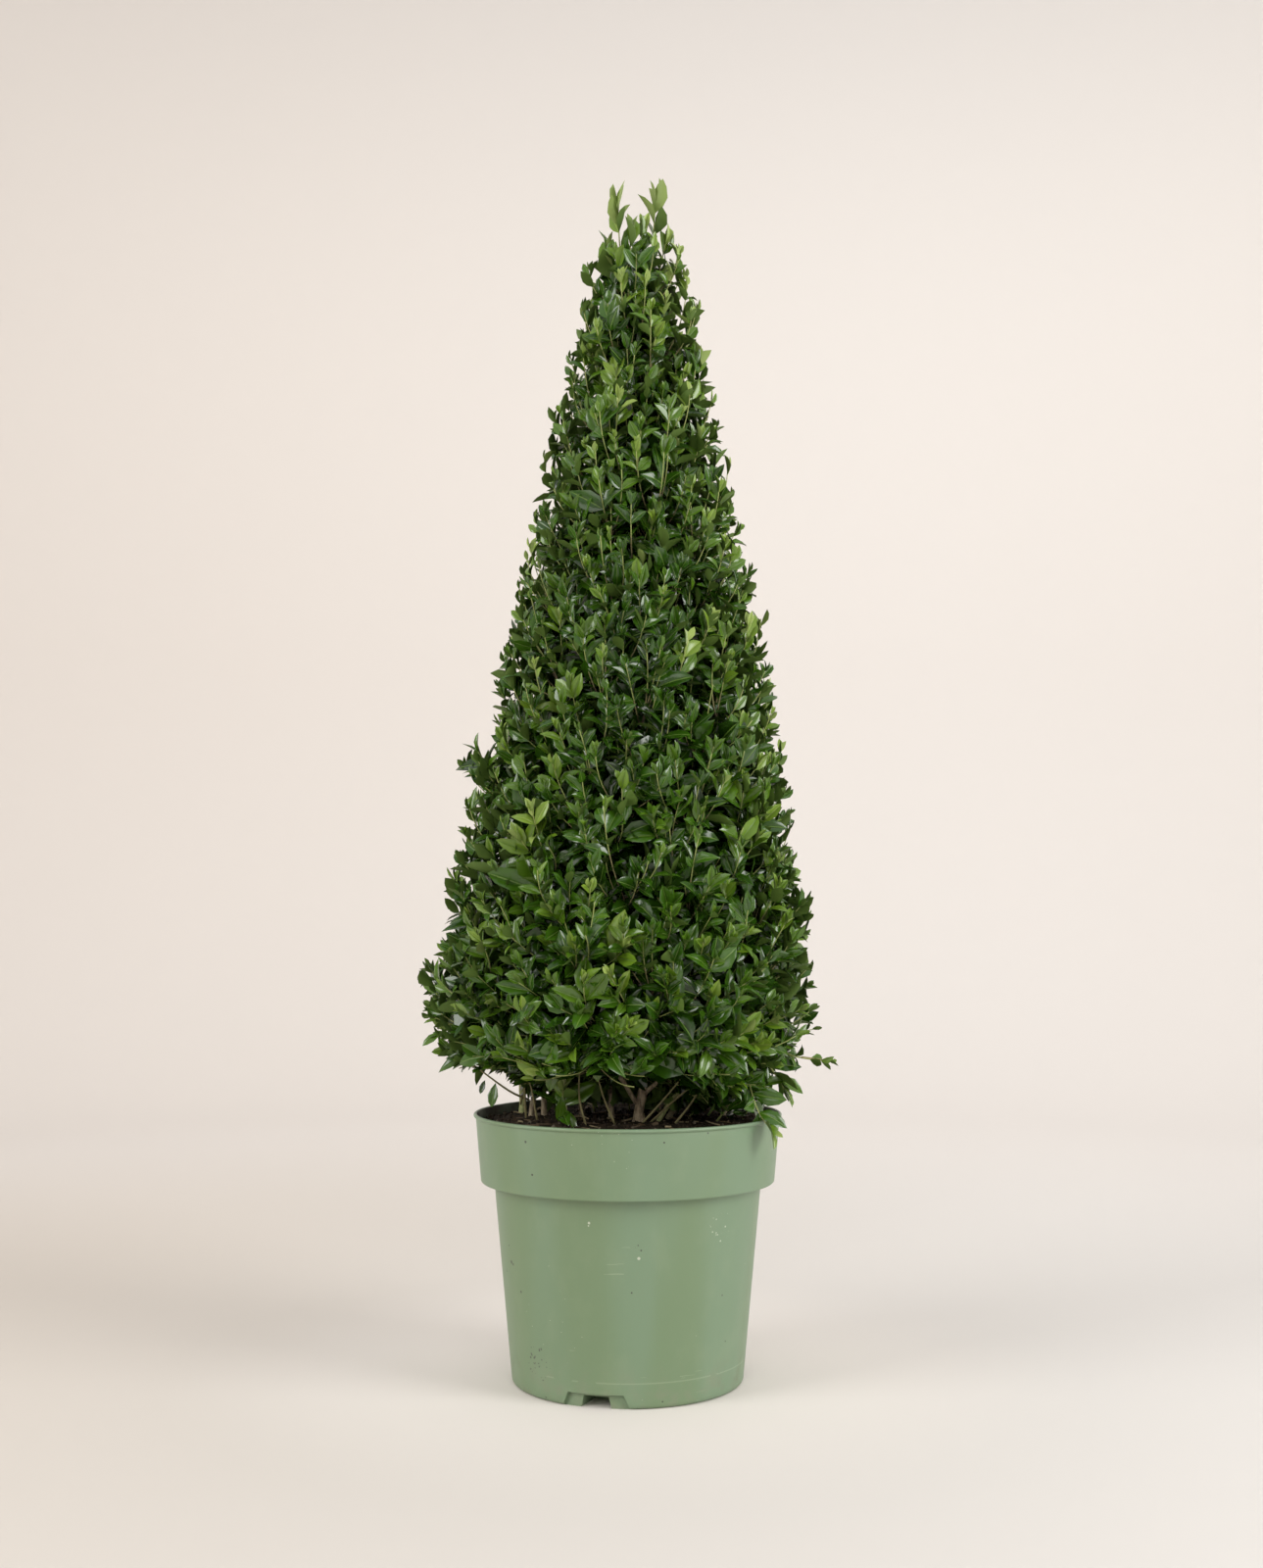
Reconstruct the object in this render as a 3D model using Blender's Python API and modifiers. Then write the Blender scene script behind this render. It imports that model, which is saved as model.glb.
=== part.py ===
"""A clipped box-leaved holly pyramid in a round nursery pot, in metres, +Z up.

The origin is the middle of the pot's flat underside, and -Y is the front. The trunk runs up through five
masses of foliage, which nest in each other like cups, and side stems rise from the soil to the lowest one.
"""

import math
import random

import bmesh
import bpy
from mathutils import Vector

CLEARANCE = 0.0003
SEED = 27

# Pot: a moulded container with a deep band under the rim.
POT_HEIGHT = 0.254
RIM_RADIUS = 0.150
LIP_HEIGHT = 0.0042
LIP_ROUND = 0.0018
BAND_TOP_RADIUS = 0.1478
BAND_FOOT_RADIUS = 0.1425
BAND_FOOT_Z = 0.1907
BAND_ROUND = 0.0016
SHOULDER_Z = 0.1888
BODY_TOP_RADIUS = 0.1295
FOOT_RADIUS = 0.1112
FOOT_ROUND = 0.0045
WALL = 0.0022
IN_WALL = 0.0018
POT_SEGMENTS = 44

# Drain channels across the underside. Round each mouth the wall's foot is set back behind a recess.
DRAIN_COUNT = 3
FIRST_DRAIN_ANGLE = math.radians(-15.3)
DRAIN_FOOT_HALF = 0.0148
DRAIN_TOP_HALF = 0.0116
DRAIN_HEIGHT = 0.0105
DRAIN_INNER_RADIUS = 0.078
RECESS_FOOT_HALF = 0.0325
RECESS_TOP_HALF = 0.0262
RECESS_HEIGHT = 0.0130
RECESS_RADIUS = 0.1075
RECESS_CUTS = 3

SOIL_TOP = 0.243

# The clipped outline that the leaf tips reach: radius, height, and how steeply the shoots there rise.
OUTLINE = (
    (0.085, 0.296, -34.0),
    (0.138, 0.276, -20.0),
    (0.170, 0.304, -2.0),
    (0.183, 0.350, 20.0),
    (0.176, 0.470, 42.0),
    (0.148, 0.630, 50.0),
    (0.116, 0.780, 58.0),
    (0.083, 0.940, 65.0),
    (0.062, 1.050, 72.0),
    (0.052, 1.105, 78.0),
    (0.030, 1.134, 86.0),
    (0.006, 1.142, 90.0),
)
# Where the clipping left it fuller or thinner: side, height, spread up and down, extra radius.
LOBES = (
    (-90.0, 0.352, 0.040, 0.020),
    (-90.0, 0.610, 0.020, 0.014),
    (-90.0, 0.668, 0.022, -0.007),
    (90.0, 0.320, 0.022, 0.018),
    (90.0, 0.640, 0.030, 0.005),
)
LOBE_WIDTH = math.radians(42.0)
CROWN_LEAN = 0.0125

# The seams between the masses are cones that open upwards: height on the axis, and rise per radius.
SEAMS = ((0.334, 0.85), (0.505, 1.0), (0.640, 1.3), (0.800, 1.6))
MASSES = ("crown_skirt", "crown_lower", "crown_middle", "crown_upper", "crown_tip")
SEAM_GAP = 0.0003
SEAM_MARGIN = 0.0028
UNDERSIDE_Z = 0.305
UNDERSIDE_ROUND = 0.030
CORE_DEPTH = 0.019
CORE_TOP_DROP = 0.004
CORE_LUMPS = 0.003
CORE_SEGMENTS = 20
CORE_RINGS = 4
# The turned blank that a core is shaped from: one ring of radius 1 at each whole height, under a point.
BLANK_TOP = CORE_RINGS + 1.0

# Shoots, whose leaves stand in crossed pairs with one leaf at the tip.
SHOOT_COUNT = 140
SHOOT_LENGTH = 0.036
TWIG_ROOT_RADIUS = 0.0026
TWIG_TIP_RADIUS = 0.0015
LEAF_LENGTH = 0.042
LEAF_WIDTH = 0.024
LEAF_THICKNESS = 0.0013
LEAF_FOLD = 0.0022
LEAF_DROOP = 0.0040
WIDEST_SHARE = 0.58
TIP_LEAF_SIZE = 0.8
PAIR_PLACES = (0.70, 0.97)
SIDE_LEAF_OVERHANG = 0.006
PAIR_SPREAD = math.radians(50.0)
UPWARD_SHARE = 0.6
GOLDEN_ANGLE = math.pi * (3.0 - math.sqrt(5.0))
LEAF_CLEARANCE = 0.004

# Shoots that stand past the clipped outline: the mass that each grows from, its path, and its leaves' size.
LONG_SHOOTS = {
    "top_left": (4, ((-0.002, -0.006, 1.080), (-0.008, -0.008, 1.120), (-0.011, -0.009, 1.162)), 0.70),
    "top_right": (4, ((0.020, 0.002, 1.080), (0.027, 0.002, 1.125), (0.031, 0.001, 1.174)), 0.70),
    "over_rim": (
        0,
        ((0.104, -0.056, 0.318), (0.118, -0.066, 0.295), (0.131, -0.078, 0.268), (0.147, -0.088, 0.243)),
        0.62,
    ),
    "low_left": (0, ((-0.116, 0.022, 0.318), (-0.142, 0.014, 0.302), (-0.178, 0.004, 0.312)), 0.40),
    "low_right": (0, ((0.135, -0.020, 0.325), (0.160, -0.022, 0.311), (0.188, -0.024, 0.305)), 0.42),
    "hanging_right": (0, ((0.118, -0.026, 0.320), (0.138, -0.031, 0.298), (0.150, -0.034, 0.281)), 0.62),
}
LONG_SHOOT_RADIUS = 0.0018
LONG_SHOOT_TIP_RADIUS = 0.0011
LONG_PAIR_PLACES = (0.66, 0.95)

# Limbs: the trunk's points from the soil to its tip, and its radii.
TRUNK_PATH = (
    (0.011, -0.014, SOIL_TOP + CLEARANCE),
    (0.011, -0.014, 0.256),
    (0.015, -0.011, 0.288),
    (0.007, 0.000, 0.360),
    (0.006, 0.000, 0.560),
    (0.009, 0.000, 0.800),
    (0.011, 0.000, 1.020),
)
TRUNK_RADIUS = 0.0046
TRUNK_TIP_RADIUS = 0.0016
TRUNK_FLARE = 1.5
FLARE_HEIGHT = 0.006
# Side stems from the soil: foot, where each enters the crown, and the radius at the foot.
SIDE_STEMS = {
    "stem_left_green": ((-0.106, 0.062), (-0.108, 0.046), 0.0036),
    "stem_left_brown": ((-0.096, 0.040), (-0.088, 0.030), 0.0030),
    "stem_left_inner": ((-0.083, 0.026), (-0.084, 0.018), 0.0027),
    "stem_front_left": ((-0.060, -0.030), (-0.061, -0.044), 0.0022),
    "stem_back_left": ((-0.046, 0.050), (-0.052, 0.070), 0.0031),
    "stem_centre_left": ((-0.016, 0.012), (-0.020, 0.026), 0.0028),
    "stem_right_pale": ((0.030, -0.010), (0.074, -0.040), 0.0022),
    "stem_right_brown": ((0.040, 0.012), (0.086, -0.004), 0.0027),
    "stem_right_back": ((0.096, 0.040), (0.104, 0.046), 0.0034),
    "stem_back": ((0.030, 0.074), (0.036, 0.092), 0.0032),
}
# Boughs from the trunk's fork: height of the fork, where each enters the crown, and the radius at the foot.
BOUGHS = {
    "bough_left": (0.262, (-0.014, -0.030), 0.0019),
    "bough_right": (0.272, (0.046, -0.030), 0.0021),
}
LIMB_TIP_SHARE = 0.75
STEM_BEVEL = 1
TRUNK_BEVEL = 3

COLOURS = {
    "pot_plastic": ((0.235, 0.345, 0.215), 0.45),
    "compost": ((0.030, 0.020, 0.013), 0.95),
    "bark": ((0.150, 0.105, 0.065), 0.85),
    "green_bark": ((0.110, 0.140, 0.040), 0.70),
    "leaves": ((0.030, 0.095, 0.018), 0.35),
}
GREEN_LIMBS = ("stem_left_green", "stem_front_left")


def clear_scene():
    """Removes the objects that the file opened with."""
    for thing in list(bpy.data.objects):
        bpy.data.objects.remove(thing)


def new_collection(name):
    """A collection linked to the scene."""
    made = bpy.data.collections.new(name)
    bpy.context.scene.collection.children.link(made)
    return made


def finish_of(slot):
    """One Principled material for each slot, made once."""
    found = bpy.data.materials.get(slot)
    if found:
        return found
    colour, roughness = COLOURS[slot]
    made = bpy.data.materials.new(slot)
    made.use_nodes = True
    shader = made.node_tree.nodes["Principled BSDF"]
    shader.inputs["Base Color"].default_value = (*colour, 1.0)
    shader.inputs["Roughness"].default_value = roughness
    shader.inputs["Metallic"].default_value = 0.0
    made.diffuse_color = (*colour, 1.0)
    return made


def add_object(name, data, collection, slot=None):
    """A new object in a collection, with its finish."""
    made = bpy.data.objects.new(name, data)
    collection.objects.link(made)
    if slot:
        data.materials.clear()
        data.materials.append(finish_of(slot))
    return made


def as_helper(thing):
    """Marks a cutter, which isn't part of the plant."""
    thing.hide_render = True
    thing.display_type = "WIRE"
    return thing


def around(radius, angle, z):
    """A point at a radius and an angle from the front, turning towards +X."""
    return Vector((radius * math.sin(angle), -radius * math.cos(angle), z))


def mesh_of(name, fill):
    """A mesh made by a function that fills a bmesh."""
    mesh = bpy.data.meshes.new(name)
    shape = bmesh.new()
    fill(shape)
    bmesh.ops.recalc_face_normals(shape, faces=shape.faces)
    shape.to_mesh(mesh)
    shape.free()
    return mesh


def evaluated_mesh(thing):
    """The object's mesh with its modifiers applied."""
    bpy.context.view_layer.update()
    graph = bpy.context.evaluated_depsgraph_get()
    return bpy.data.meshes.new_from_object(thing.evaluated_get(graph))


def apply_modifiers(thing):
    """Replaces the object's mesh by what its modifiers make of it."""
    made = evaluated_mesh(thing)
    thing.modifiers.clear()
    thing.data = made


def shade_round(thing):
    """Shades a round piece smooth, and keeps its edges crisp."""
    thing.data.shade_smooth()
    thing.data.set_sharp_from_angle(angle=math.radians(35.0))


def turned(name, profile, segments, collection, slot=None):
    """A closed solid turned about Z from (radius, z) points, listed from the top down the outer side."""
    mesh = bpy.data.meshes.new(name)
    points = [(radius, 0.0, z) for radius, z in profile]
    edges = [(i, i + 1) for i in range(len(points) - 1)]
    mesh.from_pydata(points, edges, [])
    made = add_object(name, mesh, collection, slot)
    screw = made.modifiers.new("turn", "SCREW")
    screw.steps = segments
    screw.render_steps = segments
    screw.use_merge_vertices = True
    screw.merge_threshold = 0.00005
    return made


def boolean(target, operation, operand):
    """A Boolean modifier against an object or a collection."""
    made = target.modifiers.new(operation.lower(), "BOOLEAN")
    made.operation = operation
    made.solver = "EXACT"
    if isinstance(operand, bpy.types.Collection):
        made.operand_type = "COLLECTION"
        made.collection = operand
    else:
        made.object = operand
    return made


def arc(centre_radius, centre_z, radius, start, end, steps):
    """Points round an arc of a profile, with its angles in degrees from outwards towards up."""
    points = []
    for i in range(steps + 1):
        angle = math.radians(start + (end - start) * i / steps)
        points.append((centre_radius + radius * math.cos(angle), centre_z + radius * math.sin(angle)))
    return points


def body_radius(z):
    """The outer radius of the pot's plain wall at a height."""
    return FOOT_RADIUS + (BODY_TOP_RADIUS - FOOT_RADIUS) * z / SHOULDER_Z


def pot_outer_profile():
    """The pot's outer side, from the rim's top down to the middle of the underside."""
    return [
        (0.0, POT_HEIGHT),
        *arc(RIM_RADIUS - LIP_ROUND, POT_HEIGHT - LIP_ROUND, LIP_ROUND, 90.0, -30.0, 3),
        (BAND_TOP_RADIUS, POT_HEIGHT - LIP_HEIGHT),
        *arc(BAND_FOOT_RADIUS - BAND_ROUND, BAND_FOOT_Z, BAND_ROUND, 0.0, -60.0, 2),
        (BODY_TOP_RADIUS, SHOULDER_Z),
        *arc(body_radius(FOOT_ROUND) - FOOT_ROUND, FOOT_ROUND, FOOT_ROUND, 0.0, -90.0, 3),
        (0.0, 0.0),
    ]


def pot_inner_profile(inset, top_z):
    """The inside of the wall, moved in by a little, from a height at the top down to the floor."""
    band_slope = (BAND_TOP_RADIUS - BAND_FOOT_RADIUS) / (POT_HEIGHT - LIP_HEIGHT - BAND_FOOT_Z)
    wall = WALL + inset
    turn_z = BAND_FOOT_Z + wall
    return [
        (0.0, top_z),
        (BAND_FOOT_RADIUS + band_slope * (top_z - BAND_FOOT_Z) - wall, top_z),
        (BAND_FOOT_RADIUS + band_slope * (turn_z - BAND_FOOT_Z) - wall, turn_z),
        (BODY_TOP_RADIUS - wall, SHOULDER_Z + wall),
        *arc(body_radius(FOOT_ROUND) - FOOT_ROUND, FOOT_ROUND, FOOT_ROUND - wall, 0.0, -90.0, 2),
        (0.0, wall),
    ]


def in_wall(z):
    """A radius inside the thickness of the pot's wall."""
    return body_radius(z) - IN_WALL


def past_wall(z):
    """A radius well outside the pot's wall."""
    return body_radius(z) + WALL * 4.0


def sector_block(name, foot_half, top_half, low, high, inner, outer_at, angle, cuts, collection):
    """A block that follows the pot's curve, and narrows from its width at the ground up to its top."""
    slope = (top_half - foot_half) / high

    def fill(shape):
        bmesh.ops.create_cube(shape, size=2.0)
        if cuts:
            across = [edge for edge in shape.edges if abs(edge.verts[0].co.x - edge.verts[1].co.x) > 1.0]
            bmesh.ops.subdivide_edges(shape, edges=across, cuts=cuts, use_grid_fill=True)
        for vert in shape.verts:
            z = high if vert.co.z > 0.0 else low
            turn = vert.co.x * (foot_half + slope * z) / FOOT_RADIUS
            vert.co = around(inner if vert.co.y > 0.0 else outer_at(z), turn, z)

    made = add_object(name, mesh_of(name, fill), collection)
    made.rotation_euler.z = angle
    return as_helper(made)


def drain_angles():
    """The angles of the drain channels."""
    return [FIRST_DRAIN_ANGLE + math.tau * i / DRAIN_COUNT for i in range(DRAIN_COUNT)]


def drain_blocks(name, grow, low, outer_at):
    """A collection of every channel's and recess's block, grown by the wall where they are its housing."""
    shapes = (
        ("channel", DRAIN_FOOT_HALF, DRAIN_TOP_HALF, DRAIN_HEIGHT, DRAIN_INNER_RADIUS, 0),
        ("recess", RECESS_FOOT_HALF, RECESS_TOP_HALF, RECESS_HEIGHT, RECESS_RADIUS, RECESS_CUTS),
    )
    blocks = new_collection(name)
    for i, angle in enumerate(drain_angles()):
        for kind, foot, top, height, inner, cuts in shapes:
            label = f"{name}_{kind}_{i}"
            sizes = (foot + grow, top + grow, low, height + grow, inner - grow)
            sector_block(label, *sizes, outer_at, angle, cuts, blocks)
    return blocks


def build_pot(parts, helpers):
    """The pot: a turned shell with its drain channels moulded into its underside."""
    pot = turned("pot", pot_outer_profile(), POT_SEGMENTS, parts, "pot_plastic")
    hollow = turned("pot_hollow", pot_inner_profile(0.0, POT_HEIGHT + WALL), POT_SEGMENTS, helpers)
    boolean(pot, "DIFFERENCE", as_helper(hollow))
    boolean(pot, "UNION", drain_blocks("drain_housing", WALL, WALL / 2, in_wall))
    boolean(pot, "DIFFERENCE", drain_blocks("drain_cut", 0.0, -WALL, past_wall))
    apply_modifiers(pot)
    shade_round(pot)


def build_soil(parts):
    """The compost that fills the pot, clear of the wall and of the walls round the drains."""
    soil = turned("soil", pot_inner_profile(CLEARANCE, SOIL_TOP), POT_SEGMENTS, parts, "compost")
    boolean(soil, "DIFFERENCE", drain_blocks("soil_cut", WALL + CLEARANCE, -WALL, in_wall))
    apply_modifiers(soil)
    shade_round(soil)


def smooth_path(points, steps):
    """A Catmull-Rom curve through the points, with a number of steps between each two."""
    spots = [Vector(point) for point in points]
    ends = [2 * spots[0] - spots[1], *spots, 2 * spots[-1] - spots[-2]]
    path = []
    for a, b, c, d in zip(ends, ends[1:], ends[2:], ends[3:]):
        for step in range(steps):
            t = step / steps
            bend = (2 * a - 5 * b + 4 * c - d) * t**2 + (3 * b - a - 3 * c + d) * t**3
            path.append(0.5 * (2 * b + (c - a) * t + bend))
    return [*path, spots[-1]]


def along_path(path, share):
    """The point and the direction at a share of a path's steps."""
    step = share * (len(path) - 1)
    low = min(int(step), len(path) - 2)
    return path[low].lerp(path[low + 1], step - low), (path[low + 1] - path[low]).normalized()


def taper(count, foot, tip):
    """Radii that fall evenly from the foot to the tip."""
    return [foot + (tip - foot) * i / (count - 1) for i in range(count)]


def limb(name, path, radii, bevel_resolution, collection, slot=None):
    """One tapering limb: a bevelled curve with a radius at each point and filled caps."""
    curve = bpy.data.curves.new(name, "CURVE")
    curve.dimensions = "3D"
    curve.bevel_depth = 1.0
    curve.bevel_resolution = bevel_resolution
    curve.use_fill_caps = True
    spline = curve.splines.new("POLY")
    spline.points.add(len(path) - 1)
    for point, spot, radius in zip(spline.points, path, radii):
        point.co = (*spot, 1.0)
        point.radius = radius
    spline.use_smooth = True
    return add_object(name, curve, collection, slot)


def limb_as_mesh(name, path, radii, bevel_resolution, collection):
    """The same limb as a closed mesh, for a Boolean."""
    curve = limb(f"{name}_curve", path, radii, bevel_resolution, collection)
    mesh = evaluated_mesh(curve)
    bpy.data.objects.remove(curve)
    shape = bmesh.new()
    shape.from_mesh(mesh)
    bmesh.ops.remove_doubles(shape, verts=shape.verts, dist=0.00001)
    bmesh.ops.recalc_face_normals(shape, faces=shape.faces)
    shape.to_mesh(mesh)
    shape.free()
    return add_object(name, mesh, collection)


def trunk_line():
    """The trunk's smooth path and its radii, with the root flare at the soil."""
    path = [Vector(TRUNK_PATH[0]), *smooth_path(TRUNK_PATH[1:], 3)]
    reach = path[-1].z - path[0].z
    radii = []
    for spot in path:
        up = spot.z - path[0].z
        plain = TRUNK_RADIUS + (TRUNK_TIP_RADIUS - TRUNK_RADIUS) * up / reach
        radii.append(plain * (1.0 + (TRUNK_FLARE - 1.0) * math.exp(-up / FLARE_HEIGHT)))
    return path, radii


def trunk_at(z):
    """Where the trunk's middle is at a height, and its radius there."""
    path, radii = trunk_line()
    for low, high, thick, thin in zip(path, path[1:], radii, radii[1:]):
        if z <= high.z:
            share = (z - low.z) / (high.z - low.z)
            return low.lerp(high, share), thick + (thin - thick) * share
    return path[-1], radii[-1]


def stem_line(foot, entry, radius):
    """A side stem's path from the soil to just under the crown's core, leaning more as it rises."""
    start = Vector((*foot, SOIL_TOP + CLEARANCE))
    end = Vector((*entry, UNDERSIDE_Z - CLEARANCE - radius * LIMB_TIP_SHARE))
    first = start + Vector((0.0, 0.0, radius))
    middle = start.lerp(end, 0.45) + Vector((start.x - end.x, start.y - end.y, 0.0)) * 0.08
    path = [start, *smooth_path([first, middle, end], 2)]
    return path, taper(len(path), radius, radius * LIMB_TIP_SHARE)


def bough_line(fork_z, entry, radius):
    """A bough's path from the trunk's side to just under the crown's core."""
    at, trunk_radius = trunk_at(fork_z)
    end = Vector((*entry, UNDERSIDE_Z - CLEARANCE - radius))
    away = Vector((end.x - at.x, end.y - at.y, 0.0)).normalized()
    rise = (end - at).normalized().z
    start = at + away * (trunk_radius + radius * rise + CLEARANCE)
    middle = start.lerp(end, 0.5) + away * radius
    path = smooth_path([start, middle, end], 2)
    return path, taper(len(path), radius, radius * LIMB_TIP_SHARE)


def build_limbs(parts):
    """The trunk, the side stems and the boughs, each a node. Returns their paths and radii."""
    lines = {"trunk": trunk_line()}
    for name, (foot, entry, radius) in SIDE_STEMS.items():
        lines[name] = stem_line(foot, entry, radius)
    for name, (fork_z, entry, radius) in BOUGHS.items():
        lines[name] = bough_line(fork_z, entry, radius)
    for name, (path, radii) in lines.items():
        bevel = TRUNK_BEVEL if name == "trunk" else STEM_BEVEL
        limb(name, path, radii, bevel, parts, "green_bark" if name in GREEN_LIMBS else "bark")
    return lines


def unevenness(angle, z):
    """How far the lobes and the shears' unevenness move the outline in or out."""
    extra = 0.0
    for side, height, spread, rise in LOBES:
        turn = (angle - math.radians(side) + math.pi) % math.tau - math.pi
        extra += rise * math.exp(-((turn / LOBE_WIDTH) ** 2) - ((z - height) / spread) ** 2)
    return extra + 0.0022 * math.sin(3.0 * angle + 21.0 * z) + 0.0016 * math.sin(5.0 * angle - 34.0 * z)


def crown_axis(z):
    """The crown's middle, which leans a little as it rises."""
    return Vector((CROWN_LEAN * (z - SOIL_TOP), 0.0, z))


def axis_radius(spot):
    """How far a point is from the crown's middle."""
    return math.hypot(spot.x - crown_axis(spot.z).x, spot.y)


def on_crown(radius, angle, z):
    """A point round the crown's middle."""
    return around(radius, angle, 0.0) + crown_axis(z)


def outline_station(share):
    """(radius, height, rise angle) at a share of the outline's area, counted from the underside up."""
    areas = [math.hypot(b[0] - a[0], b[1] - a[1]) * (a[0] + b[0]) for a, b in zip(OUTLINE, OUTLINE[1:])]
    left = share * sum(areas)
    step = 0
    while left > areas[step] and step < len(areas) - 1:
        left -= areas[step]
        step += 1
    return [a + (b - a) * left / areas[step] for a, b in zip(OUTLINE[step], OUTLINE[step + 1])]


def outline_radius(z):
    """The plain outline's radius at a height, above its lowest leaf tips."""
    rising = OUTLINE[1:]
    for (low_radius, low_z, _), (high_radius, high_z, _) in zip(rising, rising[1:]):
        if z <= high_z:
            return low_radius + (high_radius - low_radius) * (z - low_z) / (high_z - low_z)
    return OUTLINE[-1][0]


def seam_z(index, radius):
    """The height of the seam under a mass at a radius. The first is flat, and none is over the last mass."""
    if index == 0:
        return UNDERSIDE_Z
    if index == len(MASSES):
        return BLANK_TOP
    height, slope = SEAMS[index - 1]
    return height + slope * radius


def core_radius(z, angle):
    """The core's radius at a height, a fixed depth inside the outline, and rounded under at its foot."""
    plain = outline_radius(z) + unevenness(angle, z) - CORE_DEPTH
    below = max(0.0, UNDERSIDE_Z + UNDERSIDE_ROUND - z)
    return plain - UNDERSIDE_ROUND + math.sqrt(UNDERSIDE_ROUND**2 - below**2)


def seam_edge(index, angle):
    """Where a seam comes out of the core: (radius, height), found by halving steps towards it."""
    radius = core_radius(seam_z(index, 0.0), angle)
    for _ in range(30):
        radius = 0.5 * (radius + core_radius(seam_z(index, radius), angle))
    return radius, seam_z(index, radius)


def core_spot(index, ring, angle, rng):
    """A corner of a core: ring 0 lies at the seam above, and the last ring at the seam below."""
    low_radius, low_z = seam_edge(index, angle)
    if index == len(MASSES) - 1:
        high_z = OUTLINE[-1][1] - CORE_DEPTH - CORE_TOP_DROP
        high_radius = core_radius(high_z, angle)
    else:
        high_radius, high_z = seam_edge(index + 1, angle)
    if ring == 0:
        return on_crown(high_radius, angle, high_z - SEAM_GAP)
    if ring == CORE_RINGS:
        return on_crown(low_radius, angle, low_z + SEAM_GAP)
    z = high_z + (low_z - high_z) * (1.0 - (1.0 - ring / CORE_RINGS) ** 1.5)
    return on_crown(core_radius(z, angle) + rng.uniform(-CORE_LUMPS, CORE_LUMPS), angle, z)


def build_core(index, parts):
    """One mass's core: a lump between two seams, with a fine gap to the cores above and below."""
    rng = random.Random(SEED + index)
    rings = [(1.0, float(height)) for height in range(CORE_RINGS, -1, -1)]
    blank = [(0.0, BLANK_TOP), *rings, (0.0, -1.0)]
    core = turned(MASSES[index], blank, CORE_SEGMENTS, parts, "leaves")
    apply_modifiers(core)
    is_tip = index == len(MASSES) - 1
    high_middle = OUTLINE[-1][1] - CORE_DEPTH if is_tip else seam_z(index + 1, 0.0) - SEAM_GAP
    low_middle = seam_z(index, 0.0) + SEAM_GAP
    for vert in core.data.vertices:
        if math.hypot(vert.co.x, vert.co.y) < 0.5:
            vert.co = crown_axis(high_middle if vert.co.z > 0.0 else low_middle)
            continue
        angle = math.atan2(vert.co.x, -vert.co.y)
        vert.co = core_spot(index, CORE_RINGS - round(vert.co.z), angle, rng)
    return core


def shoot_side(direction, roll):
    """A direction square to a shoot, turned about it."""
    side = direction.cross(Vector((0.0, 0.0, 1.0)))
    if side.length < 0.05:
        side = Vector((1.0, 0.0, 0.0))
    side.normalize()
    return side * math.cos(roll) + side.cross(direction) * math.sin(roll)


def leaf_corners(base, along, size):
    """A leaf's corners: its base, its tip, its two sides, and the middles of its two faces.

    The blade turns its upper face out of the crown and up, as far as its own direction allows.
    """
    light = (base - crown_axis(base.z)).normalized() + Vector((0.0, 0.0, UPWARD_SHARE))
    across = along.cross(light).normalized()
    face = across.cross(along)
    widest = base + along * (LEAF_LENGTH * size * WIDEST_SHARE)
    tip = base + along * (LEAF_LENGTH * size) - face * LEAF_DROOP * size
    sides = [widest + across * (sign * LEAF_WIDTH * size / 2) + face * LEAF_FOLD * size for sign in (-1, 1)]
    faces = [widest + face * (sign * LEAF_THICKNESS / 2) for sign in (-1, 1)]
    return base, tip, sides, faces


def add_leaf(name, corners, collection):
    """A leaf: a sphere of four segments and two rings, drawn out flat between its corners."""
    base, tip, sides, faces = corners

    def fill(shape):
        bmesh.ops.create_uvsphere(shape, u_segments=4, v_segments=2, radius=1.0)
        for vert in shape.verts:
            x, y, z = vert.co
            if abs(z) > 0.5:
                vert.co = faces[z > 0]
            elif abs(x) > 0.5:
                vert.co = tip if x > 0 else base
            else:
                vert.co = sides[y > 0]

    add_object(name, mesh_of(name, fill), collection)


def add_twig(name, root, tip, collection):
    """A twig with three sides that narrows to its tip."""
    turn = (tip - root).to_track_quat("Z", "Y").to_matrix()
    middle = (root + tip) / 2

    def fill(shape):
        bmesh.ops.create_cone(
            shape,
            cap_ends=True,
            segments=3,
            radius1=TWIG_ROOT_RADIUS,
            radius2=TWIG_TIP_RADIUS,
            depth=(tip - root).length,
        )
        for vert in shape.verts:
            vert.co = middle + turn @ vert.co

    add_object(name, mesh_of(name, fill), collection)


def leaf_samples(corners):
    """Points round a leaf's edge and along its middle, for the tests of the space round it."""
    base, tip, sides, _ = corners
    spots = [base.lerp(tip, share) for share in (0.35, 0.7, 1.0)]
    for side in sides:
        spots += [base.lerp(side, 0.5), side, side.lerp(tip, 0.5)]
    return spots


def in_own_space(index, spots, margin=SEAM_MARGIN):
    """Whether points lie between the seams of their mass by a margin, and clear of the pot."""
    for spot in spots:
        radius = axis_radius(spot)
        if index > 0 and spot.z < seam_z(index, radius) + margin:
            return False
        if spot.z > seam_z(index + 1, radius) - margin:
            return False
        if spot.z < POT_HEIGHT + LEAF_CLEARANCE and math.hypot(spot.x, spot.y) < RIM_RADIUS + LEAF_CLEARANCE:
            return False
    return True


def off_limbs(spots, lines):
    """Whether points keep clear of every limb."""
    for path, radii in lines.values():
        for a, b, radius in zip(path, path[1:], radii):
            run = b - a
            for spot in spots:
                share = max(0.0, min(1.0, (spot - a).dot(run) / run.length_squared))
                if (spot - a - run * share).length < radius + LEAF_CLEARANCE:
                    return False
    return True


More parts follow.
